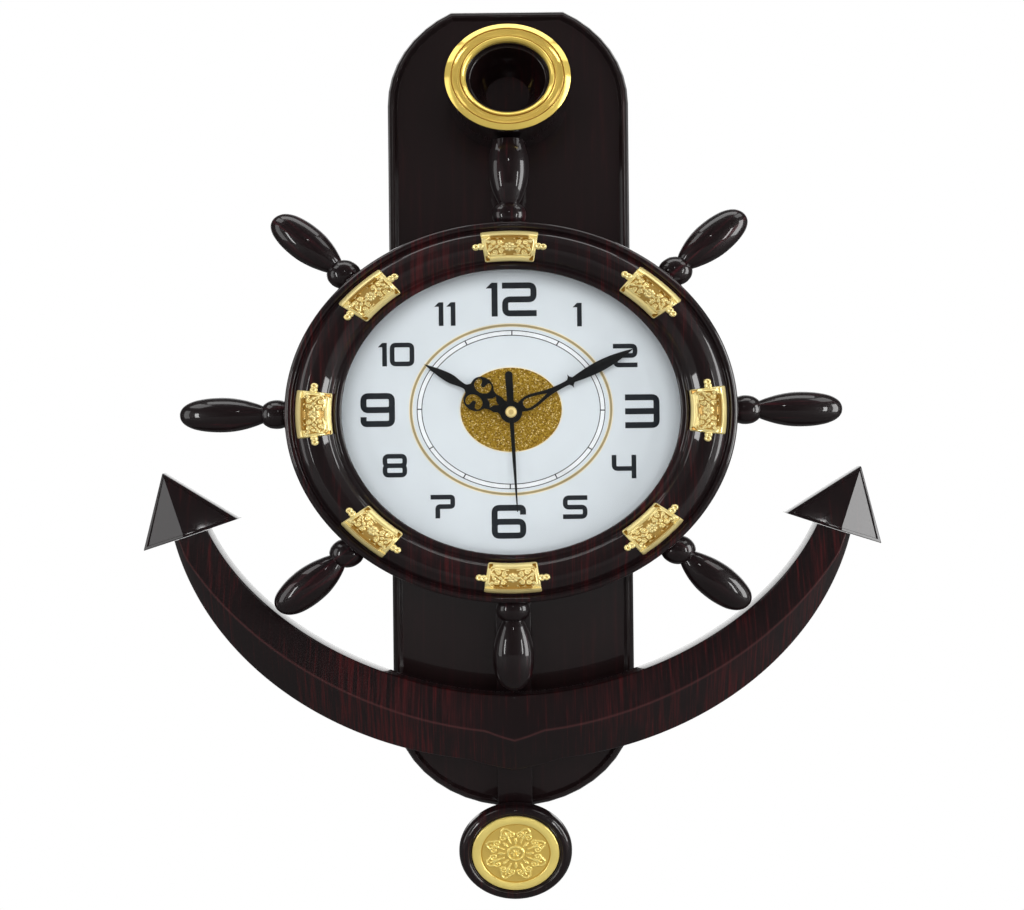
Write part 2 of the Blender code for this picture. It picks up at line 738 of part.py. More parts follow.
def build_movement_case():
    """Moulded shell with the threaded sleeve, gear bay and battery bay."""
    case = box(-CASE_HALF_WIDTH, CASE_HALF_WIDTH, MOVEMENT_BACK, MOVEMENT_FRONT,
               MOVEMENT_BOTTOM, MOVEMENT_TOP)
    case.name = "movement_case"
    join(case, bar(4.0, 33.0, 41.0), "sleeve")
    bay = CASE_HALF_WIDTH - CASE_WALL
    cut(case, box(-bay, bay, 14, MOVEMENT_FLOOR, MOVEMENT_BOTTOM + CASE_WALL, 20.4), "gear_bay")
    cut(case, box(-bay, bay, 14, MOVEMENT_FLOOR, 22.0, MOVEMENT_TOP - CASE_WALL), "battery_bay")
    cut(case, bar(2.70, 30, 43), "sleeve_bore")
    for index, (x, z) in enumerate(((THIRD_X, 0), (STEP_X, 0), (ROTOR_X, 0), (0, MOTION_Z))):
        cut(case, bar(PIVOT_RADIUS + HOLE_CLEARANCE, 32.0, 33.7, 10, x, z), "pivot" + str(index))
    dress(case, black_plastic())


def build_movement_cover():
    """Lid over the gear bay, with pivot holes and the pendulum's pin."""
    back, front = COVER_DEPTHS
    bay = CASE_HALF_WIDTH - CASE_WALL - GAP
    cover = box(-bay, bay, back, front, MOVEMENT_BOTTOM + CASE_WALL + GAP, 20.1)
    cover.name = "movement_cover"
    for index, (x, z) in enumerate(((THIRD_X, 0), (STEP_X, 0), (ROTOR_X, 0), (0, 0))):
        cut(cover, bar(PIVOT_RADIUS + HOLE_CLEARANCE, 18.5, 20.5, 10, x, z), "pivot" + str(index))
    cut(cover, bar(0.9, 16, 21, 12, 0, MOTION_Z), "knob_hole")
    pin = [(0, 13.2), (2.4, 13.2), (2.4, 13.8), (1.5, 13.8), (1.5, 18.4), (0, 18.4)]
    join(cover, turned("pin", pin, 20, at(0, PENDULUM_PIVOT)), "pendulum_pin")
    dress(cover, black_plastic())


def build_battery():
    """Cell on its side, its coil spring and its flat contact."""
    sideways = math.radians(90)
    middle = at(0, BATTERY_HEIGHT) + place(0, 25.1, 0)
    cell = [(0, -25.2), (BATTERY_RADIUS, -25.0), (BATTERY_RADIUS, 23.8), (2.7, 24.4),
            (2.7, 25.6), (0, 25.6)]
    battery = turned("battery", cell, 20, middle)
    battery.rotation_euler.z = sideways
    dress(battery, battery_wrap())
    cone = [(0, -31.0), (5.0, -31.0), (5.0, -30.4), (2.4, -25.6), (0, -25.6)]
    spring = turned("battery_spring", cone, 14, middle)
    spring.rotation_euler.z = sideways
    dress(spring, steel())
    contact = box(26.0, 26.6, 20, 30, 24.5, 35.5)
    contact.name = "battery_contact"
    dress(contact, steel())


def build_motor():
    """Step motor coil and stator, circuit board and the pendulum's coil."""
    bobbin = [(0, -13.5), (4.0, -13.5), (4.0, -12.3), (3.6, -12.3), (3.6, 12.3),
              (4.0, 12.3), (4.0, 13.5), (0, 13.5)]
    coil = turned("motor_coil", bobbin, 16, at(25.6, -2) + place(0, 27.4, 0))
    coil.rotation_euler.x = math.radians(90)
    dress(coil, copper())
    stator = box(11.6, 29.4, 20.9, 22.1, -8, 8)
    stator.name = "stator"
    cut(stator, bar(3.3, 19, 24, 20, ROTOR_X), "rotor_hole")
    dress(stator, steel())
    circuit = box(-30.6, -12.0, 22.5, 23.7, -43, -20)
    circuit.name = "circuit_board"
    dress(circuit, board_green())
    winding = [(2.5, 21.0), (7.5, 21.0), (7.5, 27.0), (2.5, 27.0)]
    dress(turned("pendulum_coil", winding, 20, at(0, -35)), copper())


def build_shaft_nut():
    nut = flat("shaft_nut", [arc(0, 0, 6.6, 6.6, 0, 300, 5)], 37.3 + GAP, 40.0)
    cut(nut, bar(4.2, 30, 45), "thread_hole")
    dress(nut, brass())


# ------------------------------------------------------ hands and pendulum

def hand(name, outlines, back, front, angle):
    """A hand drawn pointing right, turned to the time that it shows."""
    piece = flat(name, outlines, back, front)
    piece.rotation_euler.y = math.radians(-angle)
    return dress(piece, black_satin())


def star(centre_x, reach, waist):
    """Four-pointed opening with hollow sides."""
    points = []
    for quarter in range(4):
        tip = math.radians(90 * quarter)
        side = tip + math.radians(45)
        points.append((centre_x + reach * math.cos(tip), reach * math.sin(tip)))
        points.append((centre_x + waist * math.cos(side), waist * math.sin(side)))
    return points


def build_minute_hand():
    outline = arc(0, 0, HUB_RADIUS, HUB_RADIUS, 180, 24, 7) + [
        (10, 4.6), (14, 4.9), (20, 4.0), (28, 2.3), (38, 1.7), (42.4, 1.9), (44, 4.9),
        (45.8, 1.9), (54, 2.9), (64, 3.5), (74, 3.0), (84, 1.5), (MINUTE_LENGTH, 0.0)]
    loop = [(9, 1.3), (10.6, 3.0), (13.5, 3.2), (19, 2.2), (24.5, 0.6), (25.6, 0.0)]
    bore = arc(0, 0, MINUTE_BORE, MINUTE_BORE, 0, 337.5, 15)
    hand("minute_hand", [mirrored(outline), mirrored(loop), bore], 44.2, 45.0, MINUTE_ANGLE)


def build_hour_hand():
    """A star opening and two scroll loops, then a plain blade."""
    scroll_x, scroll_z = SCROLL_CENTRE
    outline = arc(0, 0, HUB_RADIUS, HUB_RADIUS, 180, 32, 7) + [(10.5, 4.3), (15.5, 4.6)]
    outline += arc(scroll_x, scroll_z, 8.0, 6.0, 170, 0, 9)
    outline += [(32.5, 3.2), (34.5, 1.7), (39, 2.0), (45, 3.0), (52, 2.6), (59, 1.4),
                (HOUR_LENGTH, 0.0)]
    loops = [arc(scroll_x, side * scroll_z, 5.6, 3.9, 0, 324, 9) for side, _ in SIDES]
    bore = arc(0, 0, HOUR_BORE, HOUR_BORE, 0, 337.5, 15)
    openings = [star(14.5, 3.3, 1.7), bore] + loops
    hand("hour_hand", [mirrored(outline)] + openings, 41.4, 42.2, HOUR_ANGLE)


def build_second_hand():
    tail = arc(-24.2, 0, 2.5, 2.5, 180, 90, 4) + [(-4.2, 2.4), (-3.4, 2.8)]
    blade = arc(0, 0, 4.4, 4.4, 120, 20, 4) + [(6.0, 1.2), (30, 0.9), (SECOND_LENGTH, 0.0)]
    bore = arc(0, 0, 0.9, 0.9, 0, 315, 7)
    hand("second_hand", [mirrored(tail + blade), bore], 47.0, 47.6, SECOND_ANGLE)
    cap = [(0, 48.9), (0.9, 48.9), (0.9, 47.9), (3.7, 47.9), (3.7, 48.8), (0, 50.0)]
    dress(turned("second_hand_cap", cap, 18), gold())


def build_pendulum():
    """Everything that swings is drawn from the pivot, which is its parent."""
    outline = arc(0, 0, 5, 5, 0, 180, 7) + [(-5, -20), (-8, -24), (-8, -46), (8, -46),
                                           (8, -24), (5, -20)]
    hole = arc(0, 0, 1.56, 1.56, 0, 342, 19)
    hanger = flat("pendulum_hanger", [outline, hole], 14.1, 15.9, ON_PARENT)
    magnet = bar(4.0, 16.2, 17.4, 16, 0, -21, ON_PARENT)
    magnet.name = "pendulum_magnet"
    bob_below = BOB_HEIGHT - PENDULUM_PIVOT
    rod_top = -38
    rod_shape = [(-ROD_HALF_WIDTH, bob_below - 10), (ROD_HALF_WIDTH, bob_below - 10),
                 (ROD_HALF_WIDTH, rod_top), (-ROD_HALF_WIDTH, rod_top)]
    rod = flat("pendulum_rod", [rod_shape], 16.2, 18.2, ON_PARENT)
    housing = [(0, 18.5), (26, 18.5), (BOB_RADIUS, 25.0), (31.0, 31.0), (28.0, 33.2),
               (25.0, 32.0), (24.9, 30.4), (0, 30.4)]
    bob = turned("bob_housing", housing, 36, place(0, 0, bob_below), PENDULUM)
    medal = [(0, 30.7), (MEDALLION_RADIUS, 30.7), (MEDALLION_RADIUS, 32.0), (23.0, 32.9),
             (20.6, 31.9), (16.6, 32.8), (6.0, 32.6), (0, 33.2)]
    medallion = turned("bob_medallion", medal, 32, place(0, 0, bob_below), PENDULUM)
    for widened in (bob, medallion):
        widened.scale.x = OVAL
    for swinging in (hanger, magnet, rod):
        swinging.parent = PENDULUM
    dress(hanger, black_plastic())
    dress(magnet, steel())
    dress(rod, rosewood())
    dress(bob, rosewood())
    dress(medallion, gold())


def frame_at(name, origin, widening=1.0):
    """Empty that carries its pieces; the oval mouldings' one widens them."""
    frame = bpy.data.objects.new(name, None)
    frame.location = origin
    frame.scale.x = widening
    CLOCK.objects.link(frame)
    return frame


clear_scene()
CLOCK = new_collection("wall_clock")
HELPERS = new_collection("cutters")
WHEEL_CENTRE = place(0, 0, -AXIS_BELOW_NAIL)
ON_PARENT = Vector((0, 0, 0))
OVAL_WHEEL = frame_at("oval_wheel", WHEEL_CENTRE, OVAL)
OVAL_RING = frame_at("oval_ring", WHEEL_CENTRE + place(0, 0, RING_HEIGHT), OVAL)
PENDULUM = frame_at("pendulum_pivot", WHEEL_CENTRE + place(0, 0, PENDULUM_PIVOT))

build_board()
build_hanger()
build_ring()
build_wheel_case()
build_bezel()
build_trim_plates()
build_handles()
build_anchor_arms()
build_flukes()
build_motion_works()
build_going_train()
build_movement_case()
build_movement_cover()
build_battery()
build_motor()
build_shaft_nut()
build_hour_hand()
build_minute_hand()
build_second_hand()
build_pendulum()
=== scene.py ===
import math

import bmesh
import bpy
from mathutils import Matrix, Vector
from mathutils.kdtree import KDTree


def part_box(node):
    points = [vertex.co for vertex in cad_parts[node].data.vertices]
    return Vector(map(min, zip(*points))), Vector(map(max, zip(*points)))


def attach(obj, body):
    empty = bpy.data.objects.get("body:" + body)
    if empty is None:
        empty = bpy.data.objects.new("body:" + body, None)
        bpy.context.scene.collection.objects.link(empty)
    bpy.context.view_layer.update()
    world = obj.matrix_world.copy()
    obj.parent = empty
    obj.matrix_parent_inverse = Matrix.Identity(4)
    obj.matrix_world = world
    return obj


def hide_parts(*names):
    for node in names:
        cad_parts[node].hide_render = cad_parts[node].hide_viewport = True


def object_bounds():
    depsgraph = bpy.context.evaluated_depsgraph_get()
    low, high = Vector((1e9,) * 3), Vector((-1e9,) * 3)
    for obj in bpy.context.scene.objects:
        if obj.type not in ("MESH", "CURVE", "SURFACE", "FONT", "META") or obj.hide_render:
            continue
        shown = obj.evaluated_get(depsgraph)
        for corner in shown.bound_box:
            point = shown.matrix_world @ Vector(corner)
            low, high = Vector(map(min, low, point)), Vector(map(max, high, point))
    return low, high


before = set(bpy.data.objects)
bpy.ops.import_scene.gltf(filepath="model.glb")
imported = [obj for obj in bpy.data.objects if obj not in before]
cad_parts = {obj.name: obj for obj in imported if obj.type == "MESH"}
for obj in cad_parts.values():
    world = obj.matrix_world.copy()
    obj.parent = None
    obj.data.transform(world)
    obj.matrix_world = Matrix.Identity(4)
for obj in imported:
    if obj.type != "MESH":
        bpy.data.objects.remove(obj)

CAD_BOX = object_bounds()
MM = 0.001
GAP = 0.3


def centre_of(node):
    low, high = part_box(node)
    return (low + high) / 2


def half_size(node):
    low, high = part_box(node)
    return (high - low) / 2


AXIS = centre_of("dial")
OVAL = half_size("dial").x / half_size("dial").z
RING_Z = (centre_of("ring_trim").z - AXIS.z) / MM
BOB_Z = (centre_of("bob_housing").z - AXIS.z) / MM
DIAL_FRONT = -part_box("dial")[0].y / MM
SIDES = (-1, 1)

# Bezel and trim plates, by radius and depth
LIP = [(95.2, 50.6), (95.2, 53.9), (92.0, 53.9), (92.2, 55.4), (94.5, 56.6), (97.2, 55.0)]
BAND = [(99.5, 58.2), (103.6, 60.9), (107.2, 61.8), (110.6, 61.6), (115.0, 59.4), (118.0, 56.0)]
OUTER_BEAD = [(119.0, 58.0), (120.6, 58.6), (122.5, 57.6), (123.2, 55.5), (123.2, 40.0),
              (98.0, 40.0), (98.0, 50.6)]
PLATE_RADIUS = 106.8
PLATE_HALF = 14.5
PLATE_LOW, PLATE_HIGH = 97.2, 116.6
FIELD_HALF = 12.4                    # the sunk field that carries the scrolls
FIELD_LOW, FIELD_MIDDLE, FIELD_HIGH = 100.2, 105.8, 113.0
FIELD_SHOULDER = 9.6
EAR_RADIUS = 107.0
SPOKES = 8
SPOKE_DEPTH = 45.0
GRAIN_SHIFT = 0.07                   # metres of print between one spoke and the next

# Scrolls of a trim plate's right half: x, radius, size, turns and starting direction
SCROLLS = [(4.6, 103.0, 1.5, 1.4, 20), (8.2, 102.6, 1.7, 1.5, 160), (11.0, 104.6, 1.1, 1.2, 250),
           (5.0, 109.0, 1.5, 1.4, 340), (8.6, 108.6, 1.6, 1.5, 200), (11.2, 109.4, 1.0, 1.2, 100),
           (6.8, 105.9, 1.0, 1.2, 90), (10.0, 106.5, 1.0, 1.1, 0)]
STEMS = [[(2.6, 101.3), (5.0, 101.0), (8.4, 100.5), (11.4, 101.4), (12.2, 103.2)],
         [(2.6, 110.9), (4.8, 111.4), (8.0, 111.1), (10.6, 111.4)],
         [(3.0, 105.6), (4.4, 106.3), (5.8, 107.4)],
         [(3.0, 106.2), (4.6, 105.2), (6.0, 104.4)],
         [(8.2, 105.6), (9.2, 104.8), (10.6, 104.0)]]

# Anchor arms: height of each curve's centre, half width, drop and power
OUTER_CURVE = (-43.3, 229.0, 188.3, 2.0)
INNER_CURVE = (-33.7, 213.0, 153.9, 1.85)
RIDGE_CURVE = (-24.3, 237.0, 185.2, 1.8)
OUTER_POINT = (30.0, -237.4)
RIDGE_POINT = (19.0, -215.0)
ARM_BACK, ARM_EDGE, ARM_RIDGE = 24.0, 37.0, 46.0
ARM_WALL = 3.0
POST_X, POST_Z = 55.0, -199.0        # posts that hold the arms off the board
RIDGE_VERTS = slice(9, 11)          # the two points on top of each section's ridge
RIDGE_SHARES = (0.2, 0.72)          # the ridge stays between these shares of the width
FLUKE_TOP = (231.3, -38.2)
FLUKE_OUT = (244.3, -89.6)
FLUKE_IN = (181.8, -69.1)
FLUKE_FOLD_X = 214.5

# Medallion
MEDAL_RADIUS = 24.5
MEDAL_EDGE = 31.4

# Dial print
NUMBER_OVAL = (87.5, 73.5)
NUMBER_OFFSET = (-0.7, 0.8)
PRINT_TURN = 1.0
PRINT_HEIGHT = 1.4
BIG_DIGIT = (22.8, 22.4, 4.0)        # width, height, stroke
SMALL_DIGIT = (16.2, 15.6, 3.1)
MINUTE_ANGLE, HOUR_ANGLE, SECOND_ANGLE = 26.75, 150.7, -86.9

# Stage, in metres
FLOOR_DROP = 0.09
CAMERA_PLACE = (0.0, -0.771, AXIS.z + 0.0078)


# Shape helpers

def spot(x, depth, z):
    return Vector((x * MM + AXIS.x, -depth * MM, z * MM + AXIS.z))


def show(name, bm, body, material, stands_for=(), angle=38):
    """Turn a built shape into a piece that rides on a body and hides its CAD nodes."""
    bmesh.ops.remove_doubles(bm, verts=bm.verts, dist=1e-7)
    bmesh.ops.recalc_face_normals(bm, faces=bm.faces)
    mesh = bpy.data.meshes.new(name)
    bm.to_mesh(mesh)
    bm.free()
    mesh.materials.append(material)
    mesh.shade_smooth()
    mesh.set_sharp_from_angle(angle=math.radians(angle))
    write_grain(mesh)
    piece = bpy.data.objects.new(name, mesh)
    bpy.context.scene.collection.objects.link(piece)
    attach(piece, body)
    if stands_for:
        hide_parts(*stands_for)
    return piece


def write_grain(mesh):
    """Store the coordinates that the printed wood grain follows, upright unless already set."""
    if "grain" in mesh.attributes:
        return
    store = mesh.attributes.new("grain", "FLOAT_VECTOR", "POINT")
    for vert in mesh.vertices:
        store.data[vert.index].vector = vert.co


def softened(points, radius, closed=True, parts=4):
    """Round the corners of a line of points."""
    result = []
    count = len(points)
    for index, point in enumerate(points):
        corner = Vector(point)
        if not closed and index in (0, count - 1):
            result.append(corner)
            continue
        before = Vector(points[index - 1]) - corner
        after = Vector(points[(index + 1) % count]) - corner
        reach = min(radius, before.length * 0.45, after.length * 0.45)
        start = corner + before.normalized() * reach
        end = corner + after.normalized() * reach
        for part in range(parts + 1):
            share = part / parts
            first = start.lerp(corner, share)
            result.append(first.lerp(corner.lerp(end, share), share))
    return [tuple(point) for point in result]


def flowing(points, parts=6):
    """Smooth curve through every point."""
    ends = [points[0]] + list(points) + [points[-1]]
    result = []
    for a, b, c, d in zip(ends, ends[1:], ends[2:], ends[3:]):
        a, b, c, d = Vector(a), Vector(b), Vector(c), Vector(d)
        for part in range(parts):
            t = part / parts
            result.append(0.5 * (2 * b + (c - a) * t + (2 * a - 5 * b + 4 * c - d) * t * t
                                 + (3 * b - a - 3 * c + d) * t ** 3))
    result.append(Vector(points[-1]))
    return [tuple(point) for point in result]


def skin(bm, rows, closed=True):
    """Join rows of points into a surface; each row may close on itself."""
    made = [[bm.verts.new(point) for point in row] for row in rows]
    for first, second in zip(made, made[1:]):
        last = len(first) if closed else len(first) - 1
        for index in range(last):
            after = (index + 1) % len(first)
            bm.faces.new((first[index], first[after], second[after], second[index]))
    return made


def relief(bm, rows, closed=True):
    """Surface through rows of (point, shade) pairs that stores each point's share of painted
    shade.
    """
    shade = bm.verts.layers.float.new("painted_shade")
    made = skin(bm, [[point for point, _ in row] for row in rows], closed)
    for verts, row in zip(made, rows):
        for vert, (_, painted_shade) in zip(verts, row):
            vert[shade] = painted_shade


def drop_slivers(bm):
    bmesh.ops.remove_doubles(bm, verts=bm.verts, dist=1e-7)
    bmesh.ops.dissolve_degenerate(bm, edges=bm.edges, dist=1e-8)


def lathe(profile, steps, centre_z=0.0, oval=OVAL, closed=True):
    """Turned shape about the front-to-back axis from (radius, depth) points."""
    loop = list(profile) + ([profile[0]] if closed else [])
    bm = bmesh.new()
    rows = []
    for radius, depth in loop:
        rows.append([spot(radius * math.sin(math.tau * step / steps) * oval, depth,
                          centre_z + radius * math.cos(math.tau * step / steps))
                     for step in range(steps)])
    skin(bm, rows)
    drop_slivers(bm)
    return bm


def darkened(bm, lines, centre_z=0.0, oval=OVAL):
    """Paint shade into the grooves of a turned shape, given as (inner, outer, strength) radii."""
    shade = bm.verts.layers.float.new("painted_shade")
    for vert in bm.verts:
        radius = math.hypot(vert.co.x / oval, vert.co.z - AXIS.z - centre_z * MM) / MM
        marks = [strength for inner, outer, strength in lines if inner <= radius <= outer]
        vert[shade] = max(marks, default=0.0)
    return bm


def plate(outlines, back, front, bevel=0.0, turn=0.0):
    """Flat plate with bevelled edges from (x, z) outlines; inner ones are holes."""
    curve = bpy.data.curves.new("outline", "CURVE")
    curve.dimensions = "2D"
    curve.fill_mode = "BOTH"
    curve.extrude = ((front - back) / 2 - bevel) * MM
    curve.bevel_depth = bevel * MM
    curve.offset = -bevel * MM
    curve.bevel_resolution = 2
    for outline in outlines:
        spline = curve.splines.new("POLY")
        spline.points.add(len(outline) - 1)
        for point, (x, z) in zip(spline.points, outline):
            point.co = (x * MM, z * MM, 0, 1)
        spline.use_cyclic_u = True
    drawn = bpy.data.objects.new("outline", curve)
    bm = bmesh.new()
    bm.from_mesh(bpy.data.meshes.new_from_object(drawn))
    bpy.data.objects.remove(drawn)
    bpy.data.curves.remove(curve)
    upright = Matrix.Rotation(math.radians(90), 4, "X")
    turned = Matrix.Rotation(math.radians(-turn), 4, "Y")
    middle = Matrix.Translation(spot(0, (back + front) / 2, 0))
    bmesh.ops.transform(bm, matrix=middle @ turned @ upright, verts=bm.verts)
    return bm


def merge(bm, other):
    mesh = bpy.data.meshes.new("part")
    other.to_mesh(mesh)
    other.free()
    bm.from_mesh(mesh)
    bpy.data.meshes.remove(mesh)


def polar(radius, angle):
    return radius * math.cos(angle), radius * math.sin(angle)


def arc(x, z, radius_x, radius_z, start, end, count):
    angles = [math.radians(start + (end - start) * step / count) for step in range(count + 1)]
    return [(x + radius_x * math.cos(a), z + radius_z * math.sin(a)) for a in angles]


def circle(x, z, radius, count=32):
    return arc(x, z, radius, radius, 0, 360 * (1 - 1 / count), count - 1)


def mirrored(half):
    return half + [(x, -z) for x, z in reversed(half) if z > 0.01]


def dome(distance, width):
    """1 at no distance, curving down to 0 at the width."""
    return max(0.0, 1 - (distance / width) ** 2)


def smoothstep(low, high, value):
    share = min(1.0, max(0.0, (value - low) / (high - low)))
    return share * share * (3 - 2 * share)


# Materials

def blank(name, colour, roughness, metallic=0.0):
    material = bpy.data.materials.new(name)
    material.use_nodes = True
    shader = material.node_tree.nodes["Principled BSDF"]
    shader.inputs["Base Color"].default_value = (*colour, 1.0)
    shader.inputs["Roughness"].default_value = roughness
    shader.inputs["Metallic"].default_value = metallic
    return material, shader


def add(material, kind, sockets=None, **settings):
    """Add a node; its sockets take values or links."""
    node = material.node_tree.nodes.new(kind)
    for key, value in settings.items():
        setattr(node, key, value)
    for key, value in (sockets or {}).items():
        if isinstance(value, bpy.types.NodeSocket):
            material.node_tree.links.new(value, node.inputs[key])
        else:
            node.inputs[key].default_value = value
    return node


def wire(material, output, shader, socket):
    material.node_tree.links.new(output, shader.inputs[socket])


def coordinates(material, source, stretch):
    """Object coordinates, or the stored grain ones, stretched along each axis."""
    if source == "grain":
        place = add(material, "ShaderNodeAttribute", attribute_name="grain").outputs["Vector"]
    else:
        place = add(material, "ShaderNodeTexCoord").outputs["Object"]
    return add(material, "ShaderNodeMapping", {"Vector": place, "Scale": stretch}).outputs[0]


def noise_of(material, source, stretch, detail, roughness=0.5, distortion=0.0):
    made = add(material, "ShaderNodeTexNoise",
               {"Vector": coordinates(material, source, stretch), "Scale": 1.0,
                "Detail": detail, "Roughness": roughness, "Distortion": distortion})
    return made.outputs["Fac"]


def ramp(material, factor, stops):
    """Colours at shares of a factor, blended between."""
    node = add(material, "ShaderNodeValToRGB", {"Fac": factor})
    scale = node.color_ramp
    while len(scale.elements) < len(stops):
        scale.elements.new(0.5)
    for element, (position, colour) in zip(scale.elements, stops):
        element.position = position
        element.color = (*colour, 1.0)
    return node.outputs["Color"]


def ranged(material, factor, low, high):
    return add(material, "ShaderNodeMapRange",
               {"Value": factor, "To Min": low, "To Max": high}).outputs["Result"]


def bumped(material, shader, height, strength, distance=0.0002):
    bump = add(material, "ShaderNodeBump",
               {"Height": height, "Strength": strength, "Distance": distance})
    wire(material, bump.outputs["Normal"], shader, "Normal")


# painted highlight: a lighter red for the thin line of light along the arms' ridge
RIDGE_HIGHLIGHT = (0.075, 0.022, 0.022)


def printed_wood(name, source, dark, mid, streak, width, length, reach):
    """Dark glossy wood print: upright streaks under a clear coat, sizes in millimetres; marked
    ridges get a painted highlight.
    """
    material, shader = blank(name, dark, 0.4)
    across, along = 1 / (width * MM), 1 / (length * MM)
    broad = noise_of(material, source, (across, along, along), 5.0, 0.62, 0.15)
    fine = noise_of(material, source, (across * 3.3, along, along * 2.0), 3.0)
    patch = noise_of(material, source, (14, 14, 7), 2.0)
    grown = add(material, "ShaderNodeMath", {0: patch, 1: 0.5}, operation="MULTIPLY").outputs[0]
    both = add(material, "ShaderNodeMath", {0: fine, 1: 0.35, 2: broad},
               operation="MULTIPLY_ADD").outputs[0]
    level = add(material, "ShaderNodeMath", {0: both, 1: grown}, operation="ADD").outputs[0]
    shown = add(material, "ShaderNodeMapRange",
                {"Value": level, "From Min": reach, "From Max": reach + 0.36}).outputs["Result"]
    colour = ramp(material, shown, [(0.0, dark), (0.28, dark), (0.5, mid), (0.95, streak)])
    # painted highlight mixed in where the ridge's stored share is set
    highlight_share = add(material, "ShaderNodeAttribute", attribute_name="painted_highlight").outputs["Fac"]
    mixed = add(material, "ShaderNodeMix", {"Factor": highlight_share, 6: colour, 7: (*RIDGE_HIGHLIGHT, 1.0)},
                data_type="RGBA")
    wire(material, mixed.outputs[2], shader, "Base Color")
    wire(material, ranged(material, fine, 0.3, 0.5), shader, "Roughness")
    shader.inputs["Specular IOR Level"].default_value = 0.25
    shader.inputs["Coat Weight"].default_value = 1.0
    shader.inputs["Coat Roughness"].default_value = 0.035
    bumped(material, shader, fine, 0.05)
    return material


def plated(name, bright, painted_shade, roughness, metallic):
    """Gold plating under lacquer, with painted shade (a browner colour) where the relief is deep.
    """
    material, shader = blank(name, bright, roughness, metallic)
    # painted shade: the stored share blends the plating towards dark brown in grooves and hollows
    depth = add(material, "ShaderNodeAttribute", attribute_name="painted_shade").outputs["Fac"]
    cloud = noise_of(material, "Object", (90, 90, 90), 4.0)
    tone = ramp(material, cloud, [(0.3, tuple(0.9 * c for c in bright)), (0.7, bright)])
    mixed = add(material, "ShaderNodeMix", {"Factor": depth, 6: tone, 7: (*painted_shade, 1.0)},
                data_type="RGBA")
    wire(material, mixed.outputs[2], shader, "Base Color")
    grain = noise_of(material, "Object", (2500, 2500, 2500), 2.0)
    wire(material, ranged(material, grain, roughness * 0.7, roughness * 1.4), shader,
         "Roughness")
    bumped(material, shader, grain, 0.012)
    return material


def moulded(name, colour, roughness, pitch, bump, cloudy=0.16):
    """Plastic or paint: faint cloudiness and a fine moulded texture."""
    material, shader = blank(name, colour, roughness)
    cloud = noise_of(material, "Object", (40, 40, 40), 5.0, 0.6)
    shades = [(0.3, tuple((1 - cloudy) * c for c in colour)),
              (0.7, tuple(min(1.0, (1 + cloudy) * c) for c in colour))]
    wire(material, ramp(material, cloud, shades), shader, "Base Color")
    fine = noise_of(material, "Object", (pitch,) * 3, 3.0)
    wire(material, ranged(material, fine, roughness * 0.8, roughness * 1.2), shader,
         "Roughness")
    bumped(material, shader, fine, bump)
    return material


def brushed(name, colour, roughness, stretch=(3000, 60, 60)):
    """Bare metal with fine drawn lines."""
    material, shader = blank(name, colour, roughness, 1.0)
    lines = noise_of(material, "Object", stretch, 4.0, 0.6)
    shades = [(0.25, tuple(0.75 * c for c in colour)), (0.75, colour)]
    wire(material, ramp(material, lines, shades), shader, "Base Color")
    wire(material, ranged(material, lines, roughness * 0.7, roughness * 1.5), shader,
         "Roughness")
    bumped(material, shader, lines, 0.15)
    return material


def banded(name, light, dark, axis_scale, roughness, metallic):
    """Fine parallel bands, for windings and wraps."""
    material, shader = blank(name, light, roughness, metallic)
    wave = add(material, "ShaderNodeTexWave",
               {"Vector": coordinates(material, "Object", axis_scale), "Scale": 1.0,
                "Distortion": 0.4, "Detail": 2.0}, bands_direction="DIAGONAL")
    wire(material, ramp(material, wave.outputs["Fac"], [(0.2, dark), (0.7, light)]), shader,
         "Base Color")
    bumped(material, shader, wave.outputs["Fac"], 0.5)
    return material


def glitter(name):
    """Gold glitter print: tiny flakes, each its own tone and tilt."""
    material, shader = blank(name, (0.50, 0.30, 0.03), 0.4, 0.55)
    place = coordinates(material, "Object", (1500, 1500, 1500))
    flakes = add(material, "ShaderNodeTexVoronoi", {"Vector": place, "Scale": 1.0})
    shade = add(material, "ShaderNodeSeparateColor", {"Color": flakes.outputs["Color"]})
    tones = [(0.0, (0.20, 0.10, 0.006)), (0.55, (0.46, 0.27, 0.022)), (0.88, (0.62, 0.40, 0.05)),
             (1.0, (1.0, 0.84, 0.42))]
    wire(material, ramp(material, shade.outputs["Red"], tones), shader, "Base Color")
    bumped(material, shader, shade.outputs["Green"], 0.5, 0.0004)
    return material


def window_glass(name):
    """Clear pane: see-through, with a faint gloss that grows at low angles."""
    material, shader = blank(name, (0.95, 0.97, 0.97), 0.03, 1.0)
    smear = noise_of(material, "Object", (12, 12, 12), 3.0)
    wire(material, ranged(material, smear, 0.015, 0.05), shader, "Roughness")
    clear = add(material, "ShaderNodeBsdfTransparent")
    angle = add(material, "ShaderNodeLayerWeight", {"Blend": 0.5})
    steep = add(material, "ShaderNodeMath", {0: angle.outputs["Facing"], 1: 5.0},
                operation="POWER")
    gloss = add(material, "ShaderNodeMath", {0: steep.outputs[0], 1: 0.6, 2: 0.006},
                operation="MULTIPLY_ADD")
    mixed = add(material, "ShaderNodeMixShader", {0: gloss.outputs[0],
                                                 1: clear.outputs[0], 2: shader.outputs[0]})
    output = material.node_tree.nodes["Material Output"]
    material.node_tree.links.new(mixed.outputs[0], output.inputs["Surface"])
    return material


def circuit(name):
    material, shader = blank(name, (0.02, 0.16, 0.06), 0.35)
    tracks = add(material, "ShaderNodeTexBrick",
                 {"Vector": coordinates(material, "Object", (300, 300, 300)),
                  "Color1": (0.02, 0.17, 0.06, 1), "Color2": (0.03, 0.20, 0.08, 1),
                  "Mortar": (0.06, 0.32, 0.12, 1), "Scale": 1.0, "Mortar Size": 0.06})
    wire(material, tracks.outputs["Color"], shader, "Base Color")
    bumped(material, shader, tracks.outputs["Fac"], 0.3)
    return material


